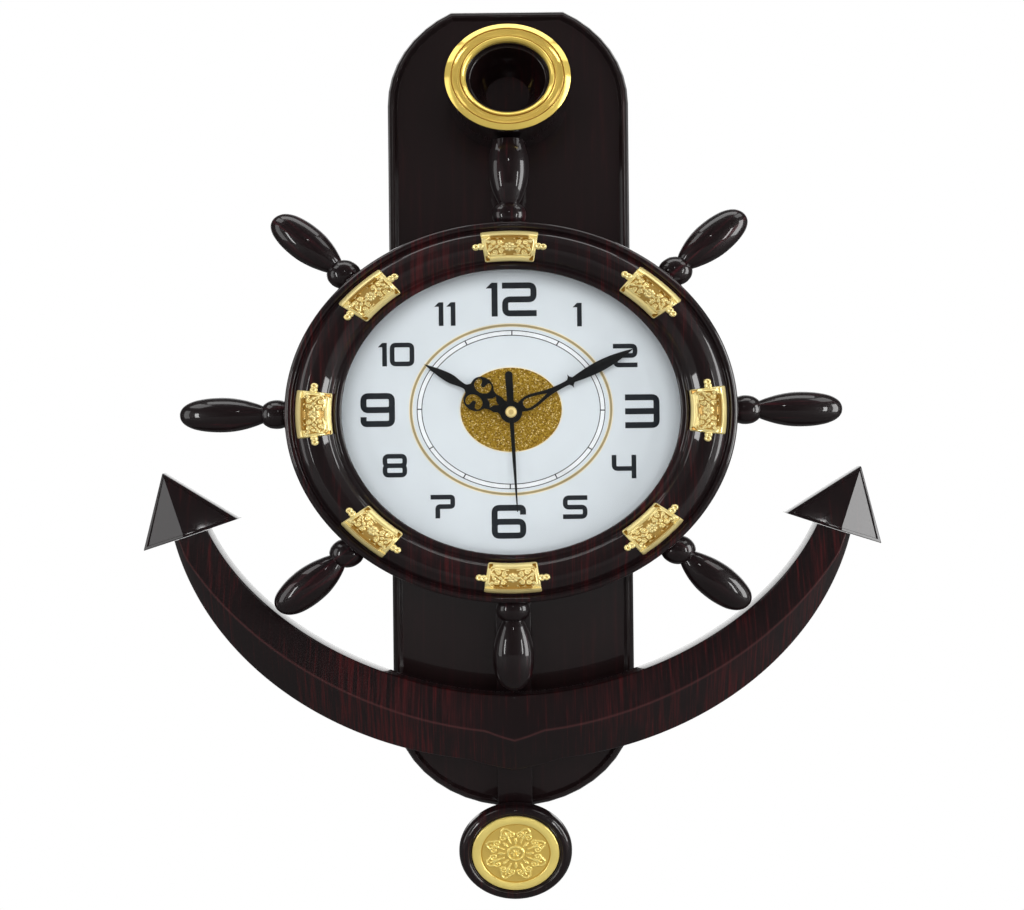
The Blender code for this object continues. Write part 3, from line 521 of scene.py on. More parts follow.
DARK = (0.0058, 0.0026, 0.0030)
ROSEWOOD = printed_wood("rosewood", "grain", DARK, (0.0125, 0.0032, 0.0038),
                        (0.042, 0.0044, 0.0052), 1.7, 45.0, 0.80)
DARK_WOOD = printed_wood("dark_rosewood", "grain", DARK, (0.0085, 0.0028, 0.0032),
                         (0.030, 0.0040, 0.0048), 3.0, 50.0, 0.86)
SPOKE_WOOD = printed_wood("spoke_wood", "grain", DARK, (0.010, 0.0030, 0.0040),
                          (0.045, 0.0046, 0.0075), 3.4, 45.0, 0.84)
BOARD = printed_wood("board_lacquer", "Object", (0.0080, 0.0040, 0.0042),
                     (0.0100, 0.0042, 0.0046), (0.018, 0.0048, 0.0052), 4.0, 90.0, 0.86)
# the third colour of each plating is the painted shade it takes in grooves and hollows
GOLD = plated("gold_plate", (1.0, 0.74, 0.17), (0.36, 0.17, 0.02), 0.12, 0.45)
PLATE_GOLD = plated("plate_gold", (1.0, 0.83, 0.36), (0.40, 0.21, 0.025), 0.18, 0.45)
MEDAL_GOLD = plated("medal_gold", (1.0, 0.80, 0.24), (0.62, 0.38, 0.06), 0.16, 0.4)
PALE_GOLD = plated("pale_gold", (0.98, 0.80, 0.36), (0.5, 0.3, 0.05), 0.3, 0.35)
HAND_BLACK = moulded("hand_paint", (0.006, 0.0065, 0.007), 0.3, 2500, 0.05)
INK = moulded("dial_ink", (0.010, 0.013, 0.017), 0.6, 2500, 0.04)
WHITE_INK = moulded("dial_white", (0.80, 0.83, 0.85), 0.45, 2500, 0.04)
CREAM_INK = moulded("dial_cream", (0.78, 0.72, 0.55), 0.5, 2500, 0.04)
GOLD_INK = moulded("dial_gold_line", (0.33, 0.26, 0.12), 0.4, 2500, 0.1)
DIAL_SILVER = moulded("dial_card", (0.655, 0.71, 0.745), 0.5, 3000, 0.03, 0.03)
CASE_BLACK = moulded("case_plastic", (0.022, 0.022, 0.024), 0.5, 1300, 0.25)
WHITE_PLASTIC = moulded("acetal", (0.74, 0.73, 0.68), 0.38, 1500, 0.08)
STEEL = brushed("plain_steel", (0.62, 0.62, 0.64), 0.28)
BRASS = brushed("turned_brass", (0.74, 0.55, 0.25), 0.28)
COPPER = banded("enamelled_wire", (0.68, 0.30, 0.13), (0.22, 0.07, 0.03), (0, 0, 7000), 0.3, 1.0)
WRAP = banded("cell_wrap", (0.10, 0.26, 0.14), (0.07, 0.19, 0.10), (180, 0, 0), 0.32, 0.0)
CIRCUIT = circuit("solder_mask")
GLASS = window_glass("window_glass")
GLITTER = glitter("glitter_print")


# Board and ring

def soften_board():
    """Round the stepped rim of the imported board."""
    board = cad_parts["back_board"]
    weld = board.modifiers.new("weld", "WELD")
    weld.merge_threshold = 1e-6
    bevel = board.modifiers.new("soft_edges", "BEVEL")
    bevel.width = 0.5 * MM
    bevel.segments = 3
    bevel.limit_method = "ANGLE"
    bevel.angle_limit = math.radians(24)
    bevel.harden_normals = True


def build_ring():
    housing = [(34.5, 9.3), (34.2, 40.0), (33.4, 60.8), (32.4, 62.0), (22.9, 62.2), (22.0, 61.0),
               (20.8, 52.0), (17.8, 40.0), (14.6, 25.0), (13.0, 22.0), (0, 22.0), (0, 19.6),
               (12.0, 19.6), (15.2, 39.6), (20.4, 59.2), (30.8, 59.2), (32.0, 9.3)]
    show("ring_cup", lathe(softened(housing, 0.9), 120, RING_Z), "clock_frame", DARK_WOOD,
         ["ring_housing"])
    trim = [(33.6, 62.3), (33.8, 65.0), (30.6, 67.3), (30.35, 66.6), (30.0, 66.7),
            (29.6, 67.0), (28.4, 66.2), (27.0, 65.8), (26.0, 66.0), (25.65, 66.4), (25.4, 65.9),
            (25.1, 66.0), (24.9, 67.6), (24.4, 67.9), (23.3, 67.0), (22.5, 65.4), (22.5, 62.3)]
    # painted shade in the trim's grooves: inner radius, outer radius and strength
    grooves = [(29.9, 30.5, 0.95), (25.75, 29.7, 0.3), (25.0, 25.7, 0.95)]
    gold = darkened(lathe(softened(trim, 0.12), 200, RING_Z), grooves, RING_Z)
    show("ring_gold", gold, "clock_frame", GOLD, ["ring_trim"])


# Wheel

def bezel_height(radius):
    for (r0, d0), (r1, d1) in zip(BAND, BAND[1:]):
        if radius <= r1:
            return d0 + (d1 - d0) * (radius - r0) / (r1 - r0)
    return BAND[-1][1]


def build_bezel():
    profile = softened(LIP + BAND + OUTER_BEAD, 0.8)
    show("bezel_moulding", lathe(profile, 200), "clock_frame", ROSEWOOD,
         ["bezel"])


def spiral(x, z, radius, turns, start, hand):
    """Points winding out from a centre."""
    count = int(26 * turns)
    points = []
    for step in range(count + 1):
        share = step / count
        angle = math.radians(start) + hand * math.tau * turns * share
        reach = radius * (0.16 + 0.84 * share)
        across, up = polar(reach, angle)
        points.append((x + across, z + up))
    return points


def distance_to(lines):
    """Function giving how far a point is from the nearest of some lines."""
    samples = []
    for line in lines:
        for (x0, z0), (x1, z1) in zip(line, line[1:]):
            count = max(1, round(math.dist((x0, z0), (x1, z1)) / 0.15))
            samples += [(x0 + (x1 - x0) * n / count, z0 + (z1 - z0) * n / count)
                        for n in range(count)]
    tree = KDTree(len(samples))
    for index, (x, z) in enumerate(samples):
        tree.insert((x, z, 0), index)
    tree.balance()
    return lambda x, z: tree.find((x, z, 0))[2]


def plate_scrolls():
    """Scroll lines of a trim plate, symmetrical about its middle."""
    lines = []
    for side in SIDES:
        for x, z, radius, turns, start in SCROLLS:
            angle = start if side > 0 else 180 - start
            hand = side * (1 if z < FIELD_MIDDLE + 0.2 else -1)
            lines.append(spiral(side * x, z, radius, turns, angle, hand))
        for stem in STEMS:
            lines.append([(side * x, z) for x, z in stem])
    return distance_to(lines)


def plate_frame():
    shoulder = FIELD_HIGH - 2.6
    frame_line = [(-FIELD_HALF, FIELD_LOW), (-FIELD_HALF, shoulder),
                  (-FIELD_SHOULDER, FIELD_HIGH), (FIELD_SHOULDER, FIELD_HIGH),
                  (FIELD_HALF, shoulder), (FIELD_HALF, FIELD_LOW)]
    return distance_to([frame_line])


def plate_relief(x, radius, scrolls, frame_line):
    """Height of a trim plate at a point, and how much painted shade it gets."""
    edge = min(PLATE_HALF - abs(x), radius - PLATE_LOW, PLATE_HIGH - radius)
    level = 0.5 + 0.9 * smoothstep(0.0, 0.7, edge)
    if radius > FIELD_HIGH:
        level += 1.2 * smoothstep(PLATE_HIGH, FIELD_HIGH + 0.2, radius)
    top = FIELD_HIGH - 0.2 - max(0.0, abs(x) - FIELD_SHOULDER)
    inside = abs(x) < FIELD_HALF - 0.2 and FIELD_LOW + 0.2 < radius < top
    painted_shade = 0.0
    if inside:
        level = 0.95
        wave = math.cos(8 * math.atan2(radius - FIELD_MIDDLE, x))
        reach = math.hypot(x, (radius - FIELD_MIDDLE) * 1.1)
        flower = max(0.0, 1 - abs(reach - 2.0) / 1.5) * (0.7 + 0.3 * wave)
        button = dome(reach, 0.9)
        level += 0.16 * math.sin(4.6 * x) * math.sin(5.2 * radius)
        leaf = dome(scrolls(x, radius), 0.5)
        height = max(flower, button, leaf)
        level += 1.0 * height
        # painted shade on the low field between the raised scrolls
        painted_shade = 0.85 * (1 - smoothstep(0.05, 0.55, height))
    level += 0.7 * dome(frame_line(x, radius), 0.45)
    level += 0.9 * dome(radius - 98.9, 1.1) * smoothstep(14.2, 11.8, abs(x))
    # the pierced corners and holes are only sunk, with full painted shade in place of real
    # openings
    pierced = abs(x) > 11.6 and radius < 100.9 and radius - 98.6 < (abs(x) - 11.2) * 1.1
    if pierced and abs(x) < 13.6 and radius > 98.2:
        level, painted_shade = 0.25, 1.0
    for hole_x in (4.3, 8.2):
        if math.hypot((abs(x) - hole_x) / 1.5, (radius - 111.0) / 0.62) < 1:
            level, painted_shade = 0.25, 1.0
    return level, painted_shade


def plate_half_width(radius):
    """Half the plate's width at a radius, less where its corners are round."""
    corner = 1.3
    from_edge = min(radius - PLATE_LOW, PLATE_HIGH - radius)
    if from_edge >= corner:
        return PLATE_HALF
    return PLATE_HALF - corner + math.sqrt(max(0.0, corner ** 2 - (corner - from_edge) ** 2))


def plate_point(x, radius, level, turn):
    angle = x / PLATE_RADIUS + turn
    depth = bezel_height(radius) + GAP + level
    return spot(radius * math.sin(angle) * OVAL, depth, radius * math.cos(angle))


def ear_rings(along, radius):
    """Rings of (x, radius, level) for one round pierced lobe of a plate's ear."""
    rings = [(1.0, 0.0), (1.0, 0.9), (0.84, 1.9), (0.55, 2.2), (0.32, 1.8), (0.28, 0.4), (0, 0.4)]
    return [[(x, z, level) for x, z in circle(along, EAR_RADIUS, reach * radius, 24)]
            for reach, level in rings]


def build_trim_plates():
    scrolls, frame_line = plate_scrolls(), plate_frame()
    columns, rows = 84, 56
    grid = []
    for row in range(rows + 1):
        radius = PLATE_LOW + (PLATE_HIGH - PLATE_LOW) * row / rows
        half = plate_half_width(radius)
        line = []
        for column in range(columns + 1):
            x = half * (2 * column / columns - 1)
            line.append((x, radius, *plate_relief(x, radius, scrolls, frame_line)))
        grid.append(line)
    for index in range(SPOKES):
        turn = math.tau * index / SPOKES
        bm = bmesh.new()
        # each point keeps its painted shade share for the plating
        relief(bm, [[(plate_point(x, radius, level, turn), painted_shade)
                     for x, radius, level, painted_shade in line] for line in grid], False)
        skirt_edges = [edge for edge in bm.edges if edge.is_boundary]
        grown = bmesh.ops.extrude_edge_only(bm, edges=skirt_edges)["geom"]
        for vert in (item for item in grown if isinstance(item, bmesh.types.BMVert)):
            vert.co.y += 0.9 * MM
        for side in SIDES:
            neck = [[(side * (PLATE_HALF - 0.6 + 2.0 * n), EAR_RADIUS + reach, level)
                     for reach, level in ((-1.7, 0.0), (-1.6, 1.0), (-0.6, 1.6), (0.6, 1.6),
                                          (1.6, 1.0), (1.7, 0.0))] for n in (0, 1)]
            inner_lobe = ear_rings(side * (PLATE_HALF + 1.1), 2.1)
            outer_lobe = ear_rings(side * (PLATE_HALF + 3.6), 2.0)
            for rings, closed in ((neck, False), (inner_lobe, True), (outer_lobe, True)):
                skin(bm, [[plate_point(x, radius, level, turn) for x, radius, level in ring]
                          for ring in rings], closed)
        show("gold_plate_" + str(index + 1), bm, "clock_frame", PLATE_GOLD,
             ["trim_plate_" + str(index + 1)], angle=50)


def build_spokes():
    """Ball and long turned grip; the top one ends flat under the ring."""
    ball = flowing([(8.2, 123.7), (9.3, 126.2), (9.6, 129.2), (8.9, 132.6), (7.2, 135.2),
                    (5.8, 136.3)])
    grip = [(5.9, 136.6), (7.4, 139.8), (9.6, 146.0), (11.1, 153.0), (11.5, 159.5),
            (11.0, 167.0), (9.3, 174.2)]
    tip = [(6.6, 178.9), (3.4, 181.3), (0, 182.0)]
    flat_end = [(8.6, 177.6), (7.4, 178.4), (0, 178.4)]
    steps = 48
    for index in range(SPOKES):
        shape = flowing(grip) + flat_end if index == 0 else flowing(grip + tip)
        around = Matrix.Rotation(math.tau * index / SPOKES, 3, "Y")
        rows = [[Vector((*polar(radius, math.tau * step / steps), distance))
                 for step in range(steps)] for radius, distance in [(0, 123.7)] + ball + shape]
        bm = bmesh.new()
        grain = bm.verts.layers.float_vector.new("grain")
        turned_rows = [[around @ point for point in row] for row in rows]
        made = skin(bm, [[spot(point.x * OVAL, SPOKE_DEPTH - point.y, point.z) for point in row]
                         for row in turned_rows])
        for verts, row in zip(made, rows):
            for vert, point in zip(verts, row):
                vert[grain] = point * MM + Vector((GRAIN_SHIFT * index, 0, 0))
        number = str(index + 1)
        show("spoke_" + number, bm, "clock_frame", SPOKE_WOOD,
             ["handle_" + number])


# Anchor

def curve_point(curve, turn):
    centre, half_width, drop, power = curve
    angle = math.radians(turn)
    x = half_width * math.copysign(abs(math.sin(angle)) ** (2 / power), turn)
    return x, centre - drop * abs(math.cos(angle)) ** (2 / power)


def pointed(point, tip):
    half_width, tip_z = tip
    x, z = point
    if abs(x) < half_width:
        z = min(z, tip_z + (z - tip_z) * abs(x) / half_width)
    return x, z


def ridge_point(inner, outer):
    """Where the ridge curve crosses from the inner edge to the outer one."""
    centre, half_width, drop, power = RIDGE_CURVE
    low, high = RIDGE_SHARES
    for _ in range(24):
        share = (low + high) / 2
        point = Vector(inner).lerp(Vector(outer), share)
        reach = (abs(point.x) / half_width) ** power
        fall = (max(0.0, centre - point.y) / drop) ** power
        if reach + fall < 1:
            low = share
        else:
            high = share
    return tuple(point)


def arm_section(turn):
    """Closed loop round the arms: rounded edges and ridge in front, hollow behind."""
    outer = pointed(curve_point(OUTER_CURVE, turn), OUTER_POINT)
    inner = curve_point(INNER_CURVE, turn)
    ridge = pointed(ridge_point(inner, outer), RIDGE_POINT)
    across = (Vector(inner) - Vector(outer)).normalized() * ARM_WALL
    outer_wall = Vector(outer) + across
    inner_wall = Vector(inner) - across
    front = [(inner, ARM_BACK), (inner, ARM_EDGE), (ridge, ARM_RIDGE), (outer, ARM_EDGE),
             (outer, ARM_BACK)]
    back = [(outer_wall, ARM_BACK), (outer_wall, ARM_EDGE - ARM_WALL),
            (ridge, ARM_RIDGE - ARM_WALL), (inner_wall, ARM_EDGE - ARM_WALL),
            (inner_wall, ARM_BACK)]
    loop = [(point[0], depth, point[1]) for point, depth in front + back]
    return [spot(*point) for point in softened(loop, 1.1, parts=3)]


def fluke_cut(bm, side):
    """Trim the arms just short of a fluke's lower edge, and close the end."""
    low = Vector(FLUKE_OUT)
    edge = Vector(FLUKE_IN) - low
    normal = Vector((-edge.y, edge.x)).normalized()
    if normal.y < 0:
        normal = -normal
    start = low - normal * GAP
    geometry = bm.verts[:] + bm.edges[:] + bm.faces[:]
    result = bmesh.ops.bisect_plane(bm, geom=geometry, dist=1e-7,
                                    plane_co=spot(side * start.x, 0, start.y),
                                    plane_no=(side * normal.x, 0, normal.y), clear_outer=True)
    rim = [item for item in result["geom_cut"] if isinstance(item, bmesh.types.BMEdge)]
    bmesh.ops.contextual_create(bm, geom=rim)


def build_arms():
    bm = bmesh.new()
    painted_highlight = bm.verts.layers.float.new("painted_highlight")
    steps = 220
    rows = skin(bm, [arm_section(-90 + 180 * step / steps) for step in range(steps + 1)])
    # painted highlight along the top of each section's ridge
    for row in rows:
        for vert in row[RIDGE_VERTS]:
            vert[painted_highlight] = 0.4
    for side in SIDES:
        fluke_cut(bm, side)
    for side in SIDES:
        post = bmesh.new()
        ends = [(0, 9.3), (6.0, 9.3), (6.0, ARM_RIDGE - 4.2), (0, ARM_RIDGE - 4.2)]
        skin(post, [[spot(x, depth, z) for x, z in circle(side * POST_X, POST_Z, radius)]
                    for radius, depth in ends])
        drop_slivers(post)
        merge(bm, post)
    show("arm_crescent", bm, "clock_frame", ROSEWOOD, ["anchor_arms"],
         angle=30)


def facing_front(edge):
    """True for the fold, whose two faces both look towards the room."""
    return all(face.normal.y < -0.3 for face in edge.link_faces)


def build_flukes():
    """Arrow heads: a flat margin, then two facets that meet along a fold."""
    share = (FLUKE_OUT[0] - FLUKE_FOLD_X) / (FLUKE_OUT[0] - FLUKE_IN[0])
    fold = (FLUKE_FOLD_X, FLUKE_OUT[1] + share * (FLUKE_IN[1] - FLUKE_OUT[1]))
    outline = (FLUKE_TOP, FLUKE_OUT, FLUKE_IN)
    corners = [(corner, ARM_BACK) for corner in outline]
    corners += [(corner, ARM_EDGE) for corner in outline] + [(fold, ARM_RIDGE + 2)]
    for side, name in ((-1, "fluke_left"), (1, "fluke_right")):
        bm = bmesh.new()
        for (x, z), depth in corners:
            bm.verts.new(spot(side * x, depth, z))
        bmesh.ops.convex_hull(bm, input=bm.verts)
        bmesh.ops.dissolve_limit(bm, angle_limit=math.radians(1), verts=bm.verts, edges=bm.edges)
        bmesh.ops.recalc_face_normals(bm, faces=bm.faces)
        edges = [edge for edge in bm.edges if not facing_front(edge)]
        bmesh.ops.bevel(bm, geom=edges, offset=0.6 * MM, segments=3, profile=0.5,
                        affect="EDGES", clamp_overlap=True)
        facets = [face for face in bm.faces if face.normal.y < -0.3 and face.calc_area() > 1e-4]
        for thickness, depth in ((1.3, 0.0), (0.5, -0.9)):
            bmesh.ops.inset_region(bm, faces=facets, thickness=thickness * MM,
                                   depth=depth * MM, use_even_offset=True)
        show(name + "_head", bm, "clock_frame", DARK_WOOD, [name], angle=32)


# Dial print

DIGITS = {
    "0": [([(0, 0), (0, 1), (1, 1), (1, 0)], True)],
    "2": [([(0, 1), (1, 1), (1, .5), (0, .5), (0, 0), (1, 0)], False)],
    "3": [([(0, 1), (1, 1), (1, 0), (0, 0)], False), ([(0, .5), (1, .5)], False)],
    "4": [([(0, 1), (0, .4), (1, .4)], False), ([(1, 1), (1, 0)], False)],
    "5": [([(1, 1), (0, 1), (0, .5), (1, .5), (1, 0), (0, 0)], False)],
    "6": [([(1, .86), (1, 1), (0, 1), (0, .5)], False),
          ([(0, 0), (0, .5), (1, .5), (1, 0)], True)],
    "7": [([(0, 1), (1, 1), (1, .5), (.24, .5), (.24, 0)], False)],
    "8": [([(0, 0), (0, .5), (1, .5), (1, 0)], True), ([(0, .5), (0, 1), (1, 1), (1, .5)], True)],
    "9": [([(0, .14), (0, 0), (1, 0), (1, .5)], False),
          ([(0, .5), (0, 1), (1, 1), (1, .5)], True)],
}


def ribbon(path, stroke, closed):
    """Outlines of a line of points drawn with a broad pen."""
    left, right = [], []
    count = len(path)
    for index, point in enumerate(path):
        before = Vector(path[index - 1]) if closed or index else Vector(point)
        after = Vector(path[(index + 1) % count]) if closed or index < count - 1 else Vector(point)
        along = (after - before).normalized()
        across = Vector((-along.y, along.x)) * stroke / 2
        left.append(tuple(Vector(point) + across))
        right.append(tuple(Vector(point) - across))
    return [left, right] if closed else [left + right[::-1]]


def beyond(start, end, extra):
    """The end of a stroke, pushed on by an extra length."""
    along = (Vector(end) - Vector(start)).normalized()
    return tuple(Vector(end) + along * extra)


def digit_strokes(digit, left, low, size):
    """Outline groups of one digit in its cell, each group one plate."""
    width, height, stroke = size
    if digit == "1":
        flag = stroke * 0.95
        top = low + height
        bar = [(left + flag, low), (left + flag + stroke, low), (left + flag + stroke, top),
               (left + flag, top)]
        tick = [(left, top - flag), (left + flag, top - flag), (left + flag, top)]
        return [[bar], [tick]]
    groups = []
    for path, closed in DIGITS[digit]:
        scaled = [(left + stroke / 2 + x * (width - stroke), low + stroke / 2
                   + z * (height - stroke)) for x, z in path]
        if not closed:
            scaled = [beyond(scaled[1], scaled[0], stroke / 2)] + scaled[1:-1] + [
                beyond(scaled[-2], scaled[-1], stroke / 2)]
        corner = stroke * (0.5 if digit == "7" else 0.8)
        groups.append(ribbon(softened(scaled, corner, closed, 5), stroke, closed))
    return groups


def digit_width(digit, size):
    return size[2] * 1.95 if digit == "1" else size[0]


def number_shape(hour):
    """One hour number, centred on its place on the dial's oval."""
    size = BIG_DIGIT if hour % 3 == 0 else SMALL_DIGIT
    spacing = size[2] * (0.75 if hour == 12 else 0.62)
    text = str(hour)
    total = sum(digit_width(digit, size) for digit in text) + spacing * (len(text) - 1)
    angle = math.radians(30 * hour + PRINT_TURN)
    left = NUMBER_OFFSET[0] + NUMBER_OVAL[0] * math.sin(angle) - total / 2
    low = NUMBER_OFFSET[1] + NUMBER_OVAL[1] * math.cos(angle) - size[1] / 2
    bm = bmesh.new()
    top = DIAL_FRONT + 0.12
    for digit in text:
        for outlines in digit_strokes(digit, left, low, size):
            top += 0.02
            merge(bm, plate(outlines, DIAL_FRONT + 0.02, top, 0.03))
        left += digit_width(digit, size) + spacing
    return bm


def oval_band(semi_x, semi_z, width, top, steps=160):
    """Thin printed band whose outer edge is the given oval."""
    back = DIAL_FRONT + 0.01
    outer = arc(0, PRINT_HEIGHT, semi_x, semi_z, 0, 360 - 360 / steps, steps - 1)
    if width >= semi_x:
        return plate([outer], back, DIAL_FRONT + top)
    inner = arc(0, PRINT_HEIGHT, semi_x - width, semi_z - width, 0, 360 - 360 / steps, steps - 1)
    return plate([outer, inner], back, DIAL_FRONT + top)


def build_print():
    for hour in range(1, 13):
        show("number_" + str(hour), number_shape(hour), "clock_frame", INK)
    show("band_white", oval_band(62.2, 52.4, 3.0, 0.04), "clock_frame", WHITE_INK)
    lines = oval_band(62.4, 52.6, 0.55, 0.08)
    merge(lines, oval_band(59.3, 49.5, 0.55, 0.08))
    for hour in range(12):
        angle = math.radians(30 * hour + PRINT_TURN)
        inner = Vector((58.9 * math.sin(angle), PRINT_HEIGHT + 49.1 * math.cos(angle)))
        outer = Vector((62.2 * math.sin(angle), PRINT_HEIGHT + 52.4 * math.cos(angle)))
        merge(lines, plate(ribbon([inner, outer], 0.75, False),
                           DIAL_FRONT + 0.01, DIAL_FRONT + 0.09))
    show("band_lines", lines, "clock_frame", INK)
    edging = oval_band(67.7, 57.3, 0.9, 0.05)
    merge(edging, oval_band(65.7, 55.3, 0.7, 0.05))
    merge(edging, oval_band(34.2, 28.5, 0.7, 0.05))
    show("band_cream", edging, "clock_frame", CREAM_INK)
    show("band_gold", oval_band(67.0, 56.6, 1.5, 0.09), "clock_frame", GOLD_INK)
    show("glitter_disc", oval_band(33.5, 27.8, 40, 0.08), "clock_frame", GLITTER)


# Hands

def scroll_loop(side):
    """Comma-shaped opening: two round ends parted by a curled tongue."""
    x, z = 24.5, 5.6
    below = arc(0, 0.2, 5.8, 4.5, 180, 360, 16)
    right = [(5.6, 1.9), (4.8, 3.4), (3.4, 4.0), (2.2, 3.4), (1.6, 2.0), (1.5, 0.7), (0.9, -0.3),
             (0, -0.6)]
    above = right + [(-u, v) for u, v in right[-2::-1]]
    return [(x + u, side * (z + v)) for u, v in below + above]


def build_hour_hand():
    half = arc(0, 0, 7.4, 7.4, 180, 40, 20)
    half += flowing([(7.6, 4.6), (10.0, 5.6), (13.6, 5.6), (16.4, 6.6)], 3)
    half += arc(24.5, 5.6, 7.6, 6.0, 160, 0, 18)
    half += flowing([(32.2, 3.6), (34.6, 1.7), (39, 2.0), (45, 3.0),
                                            (52, 2.6), (59, 1.4), (65.1, 0.12)], 4)
    star = []
    for quarter in range(4):
        tip, side = math.radians(90 * quarter), math.radians(90 * quarter + 45)
        for reach, angle in ((4.2, tip), (2.2, side)):
            along, across = polar(reach, angle)
            star.append((13.6 + along, across))
    openings = [star, circle(0, 0, 2.9)] + [scroll_loop(side) for side in SIDES]
    bm = plate([mirrored(half)] + openings, 41.4, 42.2, 0.22, HOUR_ANGLE)
    show("hand_hour", bm, "hour", HAND_BLACK, ["hour_hand"])


def build_minute_hand():
    half = arc(0, 0, 7.4, 7.4, 180, 26, 20)
    half += flowing([(9.6, 4.3), (13, 5.0), (18, 4.4), (28, 2.3),
                                            (38, 1.6), (42.2, 1.8)], 4)
    half += [(43.4, 3.2), (43.9, 5.0), (44.5, 3.2)]
    half += flowing([(46.0, 1.8), (54, 2.9), (64, 3.6), (74, 3.1),
                                            (84, 1.5), (90.1, 0.12)], 4)
    loop = flowing([(9.3, 0.0), (9.8, 2.0), (11.6, 3.1), (14.5, 3.0),
                                           (20, 1.9), (26.4, 0.0)], 5)
    outlines = [mirrored(half), mirrored(loop), circle(0, 0, 1.95)]
    show("hand_minute", plate(outlines, 44.2, 45.0, 0.22, MINUTE_ANGLE), "minute", HAND_BLACK,
         ["minute_hand"])


def build_second_hand():
    half = arc(-24.2, 0, 2.5, 2.5, 180, 90, 12) + [(-5.2, 2.2), (-4.2, 3.0)]
    half += arc(0, 0, 4.6, 4.6, 135, 16, 16)
    half += [(7.0, 1.4), (30, 1.15), (65.3, 0.35)]
    show("hand_second", plate([mirrored(half), circle(0, 0, 0.9)], 47.0, 47.6, 0.15,
                              SECOND_ANGLE), "second", HAND_BLACK, ["second_hand"])
    cap = softened([(0, 48.9), (0.9, 48.9), (0.9, 47.9), (3.7, 47.9), (3.7, 48.9), (2.9, 49.5),
                    (1.6, 49.9), (0, 50.0)], 0.3, False)
    # painted shade at the cap's middle and round its rim
    gold = darkened(lathe(cap, 48, oval=1.0, closed=False), [(0, 1.7, 0.5), (3.1, 4, 0.5)], 0, 1)
    show("hand_cap", gold, "second", PALE_GOLD, ["second_hand_cap"])


# Pendulum

def medallion_lines():
    """Scrolls round the medallion: eight pairs, with arches between them."""
    lines = []
    for index in range(8):
        middle = math.tau * index / 8
        for hand in SIDES:
            angle = middle + hand * 0.19
            lines.append(spiral(*polar(12.4, angle), 2.3, 1.4, math.degrees(middle), hand))
        lines.append([polar(reach, middle + bend)
                      for reach, bend in ((6.4, 0.0), (8.4, 0.05), (9.6, 0.0), (8.4, -0.05),
                                          (6.4, 0.0))])
        between = middle + math.tau / 16
        lines.append([polar(reach, between + bend)
                      for reach, bend in ((14.6, -0.20), (16.8, -0.10), (17.6, 0.0),
                                          (16.8, 0.10), (14.6, 0.20))])
        lines.append([polar(7.4, between), polar(15.2, between)])
    return distance_to(lines)


def medallion_height(radius, angle, nearest):
    """Depth of the medallion's face and how much painted shade it gets."""
    if radius > 19.4:
        return 32.1 + 0.75 * dome(radius - 21.8, 2.7), 0.0
    # the groove inside the rim gets full painted shade
    if radius > 18.7:
        return 31.6, 1.0
    if radius < 5.2:
        ring = dome(radius - 4.3, 0.75)
        floret = dome(radius, 3.0) * (0.65 + 0.35 * math.cos(6 * angle))
        height = max(ring, floret)
        return 31.9 + 1.0 * height, 0.6 * (1 - smoothstep(0.1, 0.5, height))
    # off the raised lines, the low ground gets painted shade
    height = dome(nearest(*polar(radius, angle)), 0.62)
    return 31.8 + 0.9 * height, 0.65 * (1 - smoothstep(0.05, 0.5, height))


def build_medallion():
    nearest = medallion_lines()
    bm = bmesh.new()
    steps, rings = 288, 76
    angles = [math.tau * step / steps for step in range(steps)]
    rows = [[(MEDAL_RADIUS, angle, MEDAL_EDGE - 0.7, 0.0) for angle in angles],
            [(MEDAL_RADIUS, angle, MEDAL_EDGE, 0.0) for angle in angles]]
    for ring in range(1, rings + 1):
        radius = MEDAL_RADIUS * (1 - ring / rings)
        rows.append([(radius, angle, *medallion_height(radius, angle, nearest))
                     for angle in angles])
    # each point keeps its painted shade share for the plating
    relief(bm, [[(spot(radius * math.cos(angle) * OVAL, depth, BOB_Z + radius * math.sin(angle)),
                  painted_shade) for radius, angle, depth, painted_shade in row] for row in rows])
    show("bob_gold", bm, "pendulum", MEDAL_GOLD, ["bob_medallion"], angle=60)


def build_pendulum():
    housing = [(0, 18.5), (26.0, 18.5), (30.4, 21.0), (31.9, 25.0), (31.7, 29.0), (30.4, 31.6),
               (28.2, 33.0), (26.6, 32.7), (26.0, 31.8), (25.4, 32.2), (25.0, 31.6),
               (24.9, 30.4), (0, 30.4)]
    show("bob_cup", lathe(softened(housing, 0.8, False), 128, BOB_Z, closed=False), "pendulum",
         ROSEWOOD, ["bob_housing"])
    low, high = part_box("pendulum_rod")
    left, right = low.x / MM, high.x / MM
    bottom, top = (low.z - AXIS.z) / MM, (high.z - AXIS.z) / MM
    outline = softened([(left, bottom), (right, bottom), (right, top), (left, top)], 2.0)
    show("rod_strip", plate([outline], -high.y / MM, -low.y / MM, 0.4),
         "pendulum", DARK_WOOD, ["pendulum_rod"])
    build_medallion()


# CAD nodes that stay

KEPT = [
    (BOARD, "back_board"), (DIAL_SILVER, "dial"), (GLASS, "glass"),
    (CASE_BLACK, "wheel_case movement_case movement_cover pendulum_hanger"),
    (WHITE_PLASTIC, "hour_wheel motion_wheel minute_wheel third_wheel second_wheel step_wheel"),
    (STEEL, "hanger_plate case_screw_1 case_screw_2 rotor battery_spring battery_contact"),
    (STEEL, "stator pendulum_magnet"), (BRASS, "hanger_screw_1 hanger_screw_2 shaft_nut"),
    (COPPER, "motor_coil pendulum_coil"), (WRAP, "battery"), (CIRCUIT, "circuit_board"),
]


def finish_kept_nodes():
    for material, names in KEPT:
        for name in names.split():
            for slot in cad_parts[name].material_slots:
                slot.material = material


# Stage

